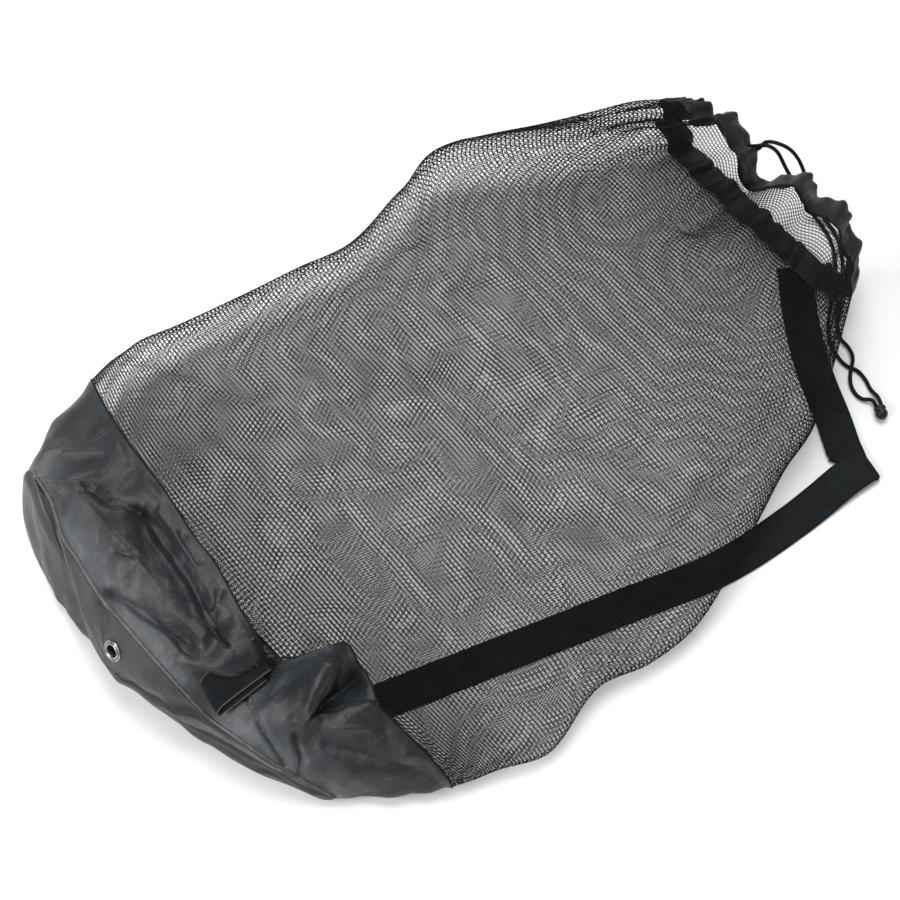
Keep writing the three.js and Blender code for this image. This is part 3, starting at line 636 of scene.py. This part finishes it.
def turned_piece(name, outline, steps, start, heading):
    """A turned part from an outline of radius and height, set at a place along a heading."""
    bm = bmesh.new()
    verts = [bm.verts.new((r, 0, h)) for r, h in outline]
    edges = [bm.edges.new(pair) for pair in zip(verts, verts[1:])]
    bmesh.ops.spin(bm, geom=verts + edges, cent=(0, 0, 0), axis=(0, 0, 1), angle=2 * math.pi, steps=steps,
                   use_merge=True)
    bmesh.ops.remove_doubles(bm, verts=bm.verts, dist=0.001)
    bmesh.ops.recalc_face_normals(bm, faces=bm.faces)
    turn = Vector(heading).to_track_quat("Z", "Y").to_matrix().to_4x4()
    bmesh.ops.transform(bm, matrix=turn, verts=bm.verts)
    bmesh.ops.translate(bm, vec=Vector(start) + Vector(MIDDLE), verts=bm.verts)
    bmesh.ops.scale(bm, vec=(MM, MM, MM), verts=bm.verts)
    for face in bm.faces:
        face.smooth = True
    return mesh_object(name, bm)


def make_eyelet():
    middle, facing = eyelet_place()
    outline = EYELET_OUTLINE + EYELET_OUTLINE[:1]
    return turned_piece("eyelet_ring", outline, EYELET_STEPS, middle, facing)


def make_bead():
    return turned_piece("cord_bead_turned", BEAD_OUTLINE, BEAD_STEPS, BEAD_START, BEAD_HEADING)


def smooth_path(knots, values, at):
    """Values along a path, on a smooth curve through its rows."""
    rows = np.arange(len(knots))
    ahead = np.minimum(rows + 1, rows[-1])
    behind = np.maximum(rows - 1, 0)
    slopes = (values[ahead] - values[behind]) / (knots[ahead] - knots[behind])[:, None]
    i = np.clip(np.searchsorted(knots, at) - 1, 0, rows[-1] - 1)
    step = (knots[i + 1] - knots[i])[:, None]
    t = (at - knots[i])[:, None] / step
    curve = slopes[i] * step * t * (1 - t) ** 2 - slopes[i + 1] * step * (1 - t) * t ** 2
    return mix(values[i], values[i + 1], ease(t)) + curve


def ribbon(name, rows, width, thick, long_ribs=0):
    """Webbing along table rows, ribbed across or by a number of long ribs, with plain edges and closed ends."""
    table = np.array(rows, float)
    knots = np.append(0.0, np.cumsum(np.linalg.norm(np.diff(table[:, :3], axis=0), axis=1)))
    length = knots[-1]
    steps = int(length / (TAB_STEP if long_ribs else RIB_PITCH / RIB_STEPS))
    sides = TAB_SIDES if long_ribs else RIBBON_SIDES

    def place(u, v):
        along = v * length
        middle = smooth_path(knots, table[:, :3], along)
        cross, bank, roll, widen = (np.interp(along, knots, table[:, k]) for k in range(3, 7))
        cross, bank, roll = np.radians(cross), np.radians(bank), np.radians(roll)
        across = np.stack([np.cos(cross), np.sin(cross), np.tan(bank)], axis=1)
        across /= np.linalg.norm(across, axis=1, keepdims=True)
        side = np.stack([-np.sin(cross), np.cos(cross), np.zeros_like(cross)], axis=1)
        facing = np.cross(across, side) * np.cos(roll)[:, None] + side * np.sin(roll)[:, None]
        turn = 2 * np.pi * u
        reach = np.clip(1.25 * np.cos(turn), -1, 1)
        face = np.sign(np.sin(turn)) * np.abs(np.sin(turn)) ** 0.6
        inside = ease(clamp01((1 - np.abs(reach)) / 0.16))
        end = clamp01(np.minimum(along, length - along) / 0.8)
        ribs = long_ribs * reach / 2 if long_ribs else along / RIB_PITCH
        face = face * end * (1 + RIB_SHARE * inside * np.sin(2 * np.pi * ribs) - 0.12 * inside)
        return metres(middle + (reach * widen * width / 2)[:, None] * across + (face * thick / 2)[:, None] * facing)

    return grid_object(name, (sides, steps), place, (2 * width * MM, length * MM), closed=True)


def seam_stitches(wall):
    """Stitches down the side seam, each laid from one spot of the base wall to the next."""
    spots = np.array([v.co for v in wall.data.vertices])
    spots = spots[spots[:, 2] > TOP_ABOVE * MM]
    line = np.array(SEAM_LINE, float)
    knots = np.append(0.0, np.cumsum(np.linalg.norm(np.diff(line, axis=0), axis=1)))
    bm = bmesh.new()
    for middle in np.arange(STITCH_PITCH / 2, knots[-1], STITCH_PITCH):
        middle += STITCH_STRAY * noise.noise(Vector((middle, 0, 0)))
        ends = []
        for along in (middle - STITCH_SIZE[0] / 2, middle + STITCH_SIZE[0] / 2):
            place = metres((np.interp(along, knots, line[:, 0]), np.interp(along, knots, line[:, 1]), 0))
            ends.append(Vector(spots[np.argmin(np.hypot(*(spots - place)[:, :2].T))]))
        turn = (ends[1] - ends[0]).to_track_quat("X", "Z")
        size = Vector(STITCH_SIZE) * MM / 2
        lie = Matrix.LocRotScale((ends[0] + ends[1]) / 2, turn, size)
        bmesh.ops.create_icosphere(bm, subdivisions=1, radius=1.0, matrix=lie)
    return mesh_object("side_seam_stitches", bm)


def make_cord(name, points):
    """A round cord on a smooth curve through its points."""
    curve = bpy.data.curves.new(name, "CURVE")
    curve.dimensions = "3D"
    curve.resolution_u = 8
    curve.bevel_depth = CORD_DIAMETER / 2 * MM
    curve.bevel_resolution = 3
    curve.use_fill_caps = True
    spline = curve.splines.new("BEZIER")
    spline.bezier_points.add(len(points) - 1)
    for knot, point in zip(spline.bezier_points, metres(points)):
        knot.co = point
        knot.handle_left_type = "AUTO"
        knot.handle_right_type = "AUTO"
    piece = bpy.data.objects.new(name, curve)
    bpy.context.scene.collection.objects.link(piece)
    return piece


def hem_points(u, v):
    """Collar: a flat sewn tube round the mouth, round its section by u and round the mouth by v."""
    deg = 360.0 * v
    turn = 2 * np.pi * u
    share = 0.5 - 0.5 * np.clip(1.15 * np.cos(turn), -1, 1)
    at = mix(COLLAR_AT, MOUTH_AT, share)
    reach = hem_reach(deg, share)
    out = bag_normals(at, deg, reach)
    outer = bag_points(at, deg, reach)
    puff = np.sign(np.sin(turn)) * np.abs(np.sin(turn)) ** 0.7
    pleat = np.sin(np.radians(deg) * PLEATS + 5 * by_angle(PLEAT_DRIFT, deg))
    pleat = pleat * (0.6 + cloud(outer, 16)) + cloud(outer, 7)
    depth = HEM_THICK / 2 * (1 - puff) - PLEAT_HEIGHT * pleat * (0.5 + 0.5 * share)
    points = outer - out * depth[:, None]
    points[:, 2] = np.maximum(points[:, 2], 0.0)
    return metres(points)


def make_collar():
    return grid_object("collar_hem", HEM_GRID, hem_points, (0.055, 0.6), closed=True)


def net_at(share):
    return mix(NET_FROM, COLLAR_AT + NET_TUCK, share)


def net_points(at, degrees, share):
    """Middle of the net's strands at a place along the bag and degrees round it."""
    follow = ease(clamp01((share - NET_FOLLOW_FROM) / (1 - NET_FOLLOW_FROM)))
    reach = hem_reach(degrees, 0.0) * follow
    points = bag_points(at, degrees, reach) - NET_INSET * bag_normals(at, degrees, reach)
    points[:, 2] = np.maximum(points[:, 2], STRAND_RADIUS)
    return points


def even_degrees(share, parts):
    """Degrees round the net at a share along it that cut its girth in even parts."""
    deg = np.linspace(0.0, 360.0, EVEN_SAMPLES + 1)
    shares = np.full_like(deg, share)
    girth = net_points(net_at(shares), deg, shares)
    walked = np.append(0.0, np.cumsum(np.linalg.norm(np.diff(girth, axis=0), axis=1)))
    return np.interp(parts * walked[-1], walked, deg)


def make_net(name, first):
    """A quarter of the net: its knotted holes as a grid of edges, in strands."""
    bm = bmesh.new()
    bmesh.ops.create_grid(bm, x_segments=NET_COLUMNS, y_segments=NET_ROWS, size=0.5)
    whole = len(NET_QUARTERS) * NET_COLUMNS
    cells = np.array([v.co for v in bm.verts])[:, :2] + 0.5
    column = np.rint(cells[:, 0] * NET_COLUMNS).astype(int)
    row = np.rint(cells[:, 1] * NET_ROWS).astype(int)
    corner = np.where((column + row) % 2 == 0, -CORNER_SHARE, CORNER_SHARE)
    parts = (first + column) / whole
    degrees = np.zeros(len(row))
    for level in range(NET_ROWS + 1):
        here = row == level
        degrees[here] = even_degrees(level / NET_ROWS, parts[here])
    share = clamp01((row + corner) / NET_ROWS)
    places = net_points(net_at(share), degrees, share)
    stray = NET_STRAY * np.sin(np.pi * share)
    degrees = degrees + stray * cloud(places, NET_STRAY_SIZE) / NET_GIRTH_PER_DEGREE
    along = net_at(share) + stray * cloud(places, NET_STRAY_SIZE, shift=7.0)
    at = np.maximum(along, seam_at(degrees) + NET_SEAM_GAP)
    pulled = at - along
    for vert, point in zip(bm.verts, metres(net_points(at, degrees, share))):
        vert.co = point
    bm.verts.ensure_lookup_table()
    thickness = bm.verts.layers.float.new("radius")
    for vert, along in zip(bm.verts, share):
        vert[thickness] = mix(*STRAND_THINNING, along ** 2)
    bmesh.ops.delete(bm, geom=list(bm.faces), context="FACES_ONLY")
    spare = [e for e in bm.edges if spare_edge(e, column, row) or cut_off(e, pulled)]
    bmesh.ops.delete(bm, geom=spare, context="EDGES")
    return strands(mesh_object(name, bm))


def spare_edge(edge, column, row):
    """True where the net has no strand: every other upright, and the last column's, which its neighbour has."""
    a, b = edge.verts[0].index, edge.verts[1].index
    if column[a] != column[b]:
        return False
    return (column[a] + min(row[a], row[b])) % 2 == 1 or column[a] == NET_COLUMNS


def cut_off(edge, pulled):
    """True where the seam has cut the net: both ends under it, or one end far under it."""
    low, high = sorted(pulled[vert.index] for vert in edge.verts)
    return low > 0 or high > SEAM_STRETCH


def strands(piece):
    """Makes the edges of a piece round threads."""
    group = bpy.data.node_groups.new("strands", "GeometryNodeTree")
    group.interface.new_socket("Geometry", in_out="INPUT", socket_type="NodeSocketGeometry")
    group.interface.new_socket("Geometry", in_out="OUTPUT", socket_type="NodeSocketGeometry")
    source = group.nodes.new("NodeGroupInput")
    lines = group.nodes.new("GeometryNodeMeshToCurve")
    section_ring = group.nodes.new("GeometryNodeCurvePrimitiveCircle")
    section_ring.inputs["Resolution"].default_value = STRAND_SIDES
    section_ring.inputs["Radius"].default_value = STRAND_RADIUS * MM
    tubes = group.nodes.new("GeometryNodeCurveToMesh")
    smooth = group.nodes.new("GeometryNodeSetShadeSmooth")
    result = group.nodes.new("NodeGroupOutput")
    group.links.new(source.outputs[0], lines.inputs["Mesh"])
    group.links.new(lines.outputs["Curve"], tubes.inputs["Curve"])
    group.links.new(section_ring.outputs["Curve"], tubes.inputs["Profile Curve"])
    group.links.new(tubes.outputs["Mesh"], smooth.inputs["Geometry"])
    group.links.new(smooth.outputs["Geometry"], result.inputs[0])
    modifier = piece.modifiers.new("strands", "NODES")
    modifier.node_group = group
    graph = bpy.context.evaluated_depsgraph_get()
    thread = bpy.data.meshes.new_from_object(piece.evaluated_get(graph))
    piece.modifiers.clear()
    piece.data = thread
    return piece


def new_material(name, colour, roughness, **sockets):
    """A material with its shader's constants set."""
    material = bpy.data.materials.new(name)
    material.use_nodes = True
    shader = material.node_tree.nodes["Principled BSDF"]
    shader.inputs["Base Color"].default_value = (*colour, 1.0)
    shader.inputs["Roughness"].default_value = roughness
    for socket, value in sockets.items():
        shader.inputs[socket.replace("_", " ")].default_value = value
    return material


def add_node(material, kind, **sockets):
    """A node with some of its inputs set."""
    node = material.node_tree.nodes.new(kind)
    for socket, value in sockets.items():
        node.inputs[socket].default_value = value
    return node


def join(material, output, target):
    material.node_tree.links.new(output, target)


def shader_of(material):
    return material.node_tree.nodes["Principled BSDF"]


def object_noise(material, scale, detail, roughness=0.5):
    """Noise on the piece's own coordinates, in metres."""
    place = add_node(material, "ShaderNodeTexCoord")
    cloud = add_node(material, "ShaderNodeTexNoise", Scale=scale, Detail=detail, Roughness=roughness)
    join(material, place.outputs["Object"], cloud.inputs["Vector"])
    return cloud.outputs["Fac"]


def colour_by(material, factor, dark, light, low=0.3, high=0.7):
    """Two colours of a finish, blended by a factor."""
    ramp = add_node(material, "ShaderNodeValToRGB")
    ramp.color_ramp.elements[0].position = low
    ramp.color_ramp.elements[0].color = (*dark, 1.0)
    ramp.color_ramp.elements[1].position = high
    ramp.color_ramp.elements[1].color = (*light, 1.0)
    join(material, factor, ramp.inputs["Fac"])
    join(material, ramp.outputs["Color"], shader_of(material).inputs["Base Color"])


def roughness_by(material, factor, low, high):
    span = add_node(material, "ShaderNodeMapRange")
    span.inputs["To Min"].default_value = low
    span.inputs["To Max"].default_value = high
    join(material, factor, span.inputs["Value"])
    join(material, span.outputs["Result"], shader_of(material).inputs["Roughness"])


def bump_by(material, height, distance, strength=1.0, under=None):
    """Raises the surface by a height, over an earlier bump where there is one."""
    bump = add_node(material, "ShaderNodeBump", Strength=strength, Distance=distance)
    join(material, height, bump.inputs["Height"])
    if under is not None:
        join(material, under, bump.inputs["Normal"])
    join(material, bump.outputs["Normal"], shader_of(material).inputs["Normal"])
    return bump.outputs["Normal"]


def weave_height(material, pitch):
    """Crossing threads on the piece's cut pattern, one over the other."""
    cut = add_node(material, "ShaderNodeTexCoord")
    heights = []
    for axis in ("X", "Y"):
        wave = add_node(material, "ShaderNodeTexWave", Scale=math.pi / (10 * pitch))
        wave.wave_type = "BANDS"
        wave.bands_direction = axis
        wave.wave_profile = "SIN"
        join(material, cut.outputs["UV"], wave.inputs["Vector"])
        heights.append(wave.outputs["Fac"])
    cross = add_node(material, "ShaderNodeMath")
    cross.operation = "MULTIPLY"
    join(material, heights[0], cross.inputs[0])
    join(material, heights[1], cross.inputs[1])
    return cross.outputs["Value"]


def blend_in(material, factor, colour):
    """Lays another colour over a finish where a factor is high."""
    socket = shader_of(material).inputs["Base Color"]
    blend = add_node(material, "ShaderNodeMixRGB", Color2=(*colour, 1.0))
    join(material, socket.links[0].from_socket, blend.inputs["Color1"])
    join(material, factor, blend.inputs["Fac"])
    join(material, blend.outputs["Color"], socket)


def cut_axis(material, axis):
    """One axis of the piece's cut pattern, in metres."""
    place = add_node(material, "ShaderNodeTexCoord")
    split = add_node(material, "ShaderNodeSeparateXYZ")
    join(material, place.outputs["UV"], split.inputs["Vector"])
    return split.outputs[axis]


def span_of(material, value, low, high):
    """A value's place between two limits, from 0 to 1."""
    span = add_node(material, "ShaderNodeMapRange")
    span.inputs["From Min"].default_value = low
    span.inputs["From Max"].default_value = high
    join(material, value, span.inputs["Value"])
    return span.outputs["Result"]


def product(material, a, b):
    node = add_node(material, "ShaderNodeMath")
    node.operation = "MULTIPLY"
    join(material, a, node.inputs[0])
    join(material, b, node.inputs[1])
    return node.outputs["Value"]


def painted_rim_light_cloth():
    """The coated nylon of the base wall, painted paler towards the rim as painted light."""
    material = coated_cloth()
    material.name = "coated_nylon_painted_rim_light"
    # painted light: a paler strip up the wall from the rim, broken into noise patches
    near_rim = span_of(material, cut_axis(material, "Y"), *PAINTED_RIM_LIGHT_SPAN)
    patches = span_of(material, object_noise(material, 30, 4, 0.6), 0.22, 0.56)
    blend_in(material, product(material, near_rim, patches), PAINTED_RIM_LIGHT_COLOUR)
    return material


def coated_cloth():
    """Charcoal coated nylon: satin, faintly blue, with soft wrinkles and a fine plain weave."""
    material = new_material("coated_charcoal_nylon", (0.02, 0.021, 0.024), 0.4, Specular_IOR_Level=0.4,
                            Sheen_Weight=0.2, Sheen_Roughness=0.35)
    colour_by(material, object_noise(material, 26, 5, 0.65), (0.0064, 0.0082, 0.0102), (0.0156, 0.0194, 0.0230))
    roughness_by(material, object_noise(material, 60, 4), 0.34, 0.46)
    wrinkles = bump_by(material, object_noise(material, 85, 5, 0.6), 0.0022, 0.7)
    bump_by(material, weave_height(material, 0.0009), 0.00012, 0.6, wrinkles)
    return material


def edge_cloth():
    """Piping of the rim: the same nylon, with a painted highlight that makes it paler along the fold."""
    material = new_material("edge_nylon_painted_highlight", (0.09, 0.094, 0.1), 0.45, Specular_IOR_Level=0.4)
    # painted highlight: the piping's pale tone stands in for the light along the rim's fold
    colour_by(material, object_noise(material, 120, 4, 0.7), (0.035, 0.038, 0.042), (0.10, 0.105, 0.11))
    bump_by(material, object_noise(material, 300, 3), 0.0006, 0.6)
    return material


def seam_cloth():
    """Black bound edge between the nylon and the net."""
    material = new_material("black_seam_binding", (0.006, 0.0065, 0.007), 0.6, Specular_IOR_Level=0.15)
    colour_by(material, object_noise(material, 200, 3), (0.004, 0.0045, 0.005), (0.010, 0.0105, 0.0115))
    bump_by(material, object_noise(material, 900, 2), 0.0005, 0.6)
    return material


def hem_cloth():
    """Black nylon of the collar, with puckers beside its stitching."""
    material = new_material("black_hem_nylon", (0.008, 0.0085, 0.0095), 0.45, Specular_IOR_Level=0.25)
    colour_by(material, object_noise(material, 60, 4, 0.6), (0.0032, 0.0042, 0.0050), (0.0074, 0.0094, 0.0108))
    roughness_by(material, object_noise(material, 90, 3), 0.4, 0.56)
    wrinkles = bump_by(material, object_noise(material, 170, 4, 0.6), 0.0016, 0.7)
    bump_by(material, weave_height(material, 0.0009), 0.00012, 0.6, wrinkles)
    return material


def netting():
    """Black knitted polyester strands."""
    material = new_material("black_knit_net", (0.006, 0.006, 0.007), 0.6, Specular_IOR_Level=0.12)
    colour_by(material, object_noise(material, 40, 4, 0.6), (0.0036, 0.0042, 0.0048), (0.0094, 0.0110, 0.0122))
    bump_by(material, object_noise(material, 2200, 2), 0.0002, 0.5)
    return material


def webbing():
    """Black ribbed webbing with fluff on its ribs."""
    material = new_material("black_ribbed_webbing", (0.006, 0.0064, 0.0072), 0.62, Specular_IOR_Level=0.12)
    colour_by(material, object_noise(material, 150, 5, 0.7), (0.0034, 0.0046, 0.0056), (0.0100, 0.0128, 0.0148))
    bump_by(material, weave_height(material, 0.0013), 0.0003, 0.7)
    return material


def tab_webbing():
    """The same webbing with a painted highlight, paler along the tab's edges."""
    material = webbing()
    material.name = "black_webbing_painted_edge_highlight"
    widths = add_node(material, "ShaderNodeMath")
    widths.operation = "DIVIDE"
    widths.inputs[1].default_value = TAB_WIDTH * MM
    join(material, cut_axis(material, "X"), widths.inputs[0])
    from_edge = add_node(material, "ShaderNodeMath")
    from_edge.operation = "PINGPONG"
    from_edge.inputs[1].default_value = 0.5
    join(material, widths.outputs["Value"], from_edge.inputs[0])
    # painted highlight: a paler colour along the tab's edges
    blend_in(material, span_of(material, from_edge.outputs["Value"], *EDGE_HIGHLIGHT_SPAN), EDGE_HIGHLIGHT_COLOUR)
    return material


def braided_cord():
    """Black braided cord."""
    material = new_material("black_braided_cord", (0.007, 0.007, 0.0075), 0.65, Specular_IOR_Level=0.15)
    braid = add_node(material, "ShaderNodeTexVoronoi", Scale=1100)
    place = add_node(material, "ShaderNodeTexCoord")
    join(material, place.outputs["Object"], braid.inputs["Vector"])
    # painted shade: the braid's grooves, where the bump sinks, are coloured darker
    colour_by(material, braid.outputs["Distance"], (0.012, 0.012, 0.013), (0.003, 0.003, 0.0035), 0.1, 0.6)
    bump_by(material, braid.outputs["Distance"], -0.0004, 0.8)
    return material


def bead_plastic():
    """Black moulded plastic, a little worn."""
    material = new_material("black_moulded_plastic", (0.007, 0.007, 0.0075), 0.4, Specular_IOR_Level=0.3)
    colour_by(material, object_noise(material, 260, 4, 0.6), (0.005, 0.005, 0.0055), (0.011, 0.011, 0.012))
    roughness_by(material, object_noise(material, 420, 3), 0.34, 0.52)
    bump_by(material, object_noise(material, 1500, 2), 0.0001, 0.4)
    return material


def eyelet_metal():
    """Nickel plate with handling marks."""
    material = new_material("worn_nickel_plate", (0.36, 0.36, 0.35), 0.28, Metallic=1.0)
    colour_by(material, object_noise(material, 380, 5, 0.7), (0.18, 0.18, 0.18), (0.46, 0.46, 0.45), 0.35, 0.6)
    roughness_by(material, object_noise(material, 700, 4, 0.7), 0.16, 0.36)
    bump_by(material, object_noise(material, 1200, 3), 0.0001, 0.3)
    return material


def seam_thread():
    """Grey sewing thread."""
    material = new_material("grey_sewing_thread", (0.16, 0.16, 0.165), 0.6)
    colour_by(material, object_noise(material, 1500, 2), (0.07, 0.072, 0.076), (0.17, 0.174, 0.18))
    bump_by(material, object_noise(material, 3000, 2), 0.0001, 0.5)
    return material


def floor_finish():
    """White studio paper."""
    material = new_material("white_studio_paper", (0.88, 0.88, 0.88), 0.85)
    colour_by(material, object_noise(material, 3, 2), (0.87, 0.87, 0.87), (0.89, 0.89, 0.89))
    return material


def add_floor():
    bm = bmesh.new()
    bmesh.ops.create_grid(bm, x_segments=1, y_segments=1, size=FLOOR_SIZE / 2)
    bmesh.ops.translate(bm, vec=(0, 0, -FLOOR_DROP), verts=bm.verts)
    floor = mesh_object("studio_floor", bm)
    floor.data.materials.append(floor_finish())


def add_light(name, place, size, power):
    """A soft square lamp aimed at the bag."""
    lamp = bpy.data.lights.new(name, "AREA")
    lamp.shape = "SQUARE"
    lamp.size = size
    lamp.energy = power
    holder = bpy.data.objects.new(name, lamp)
    holder.location = place
    holder.rotation_euler = (-Vector(place)).to_track_quat("-Z", "Y").to_euler()
    bpy.context.scene.collection.objects.link(holder)


def add_studio():
    """White surround, two large lamps and plain tones."""
    world = bpy.data.worlds.new("white_surround")
    world.use_nodes = True
    sky = world.node_tree.nodes["Background"]
    sky.inputs["Color"].default_value = (1.0, 1.0, 1.0, 1.0)
    sky.inputs["Strength"].default_value = SURROUND_STRENGTH
    bpy.context.scene.world = world
    add_light("key_lamp", KEY_PLACE, KEY_SIZE, KEY_POWER)
    add_light("top_lamp", TOP_PLACE, TOP_SIZE, TOP_POWER)
    bpy.context.scene.view_settings.view_transform = "Standard"


def add_camera():
    """The photograph's view."""
    turn = math.radians(VIEW_AZIMUTH)
    lift = math.radians(VIEW_ELEVATION)
    back = Vector((math.sin(turn) * math.cos(lift), -math.cos(turn) * math.cos(lift), math.sin(lift)))
    lens = bpy.data.cameras.new("view")
    lens.sensor_width = 36.0
    lens.lens = lens.sensor_width / 2 * VIEW_DISTANCE / VIEW_HALF_WIDTH
    lens.clip_start = 0.05
    holder = bpy.data.objects.new("view", lens)
    holder.location = Vector(VIEW_AIM) + VIEW_DISTANCE * back
    holder.rotation_euler = back.to_track_quat("Z", "Y").to_euler()
    bpy.context.scene.collection.objects.link(holder)
    bpy.context.scene.camera = holder


def add_drawcord():
    """Both runs of the drawcord and the bead on their ends."""
    bead = fit(make_bead(), bead_plastic(), "bead", "cord_bead")
    finish = braided_cord()
    for name, node, points in (("drawcord_inner_braid", "drawcord_inner", CORD_INNER),
                               ("drawcord_outer_braid", "drawcord_outer", CORD_OUTER)):
        piece = fit(make_cord(name, points), finish, "cord", node)


def add_base():
    """Base wall, end panel, their edges and the eyelet."""
    cloth = coated_cloth()
    wall = fit(make_base_wall(), painted_rim_light_cloth(), "coated_cloth", *WALL_NODES)
    panel = fit(make_base_panel(), cloth, "coated_cloth", "base_panel")
    piping = fit(ring_tube("rim_piping", PIPING_GRID, rim_path, PIPING_RADIUS), edge_cloth(), "coated_cloth")
    roll = fit(ring_tube("net_seam_roll", PIPING_GRID, roll_path, ROLL_RADIUS), seam_cloth(), "hem_cloth")
    stitches = fit(seam_stitches(wall), seam_thread(), "coated_cloth")
    fit(make_eyelet(), eyelet_metal(), "eyelet_metal", "eyelet")


def add_webbing():
    """Shoulder strap and tab."""
    tab = ribbon("base_tab_webbing", TAB_ROWS, TAB_WIDTH, TAB_THICK, TAB_RIBS)
    strap = ribbon("shoulder_strap_webbing", STRAP_ROWS, STRAP_WIDTH, STRAP_THICK)
    fit(tab, tab_webbing(), "webbing", "base_tab")
    fit(strap, webbing(), "webbing", "shoulder_strap")


def add_net():
    finish = netting()
    for i, name in enumerate(NET_QUARTERS):
        fit(make_net(name, i * NET_COLUMNS), finish, "netting", *NET_NODES)


def add_collar():
    collar = fit(make_collar(), hem_cloth(), "hem_cloth", "collar")


add_camera()
add_studio()
add_floor()
add_drawcord()
add_base()
add_webbing()
add_collar()
add_net()
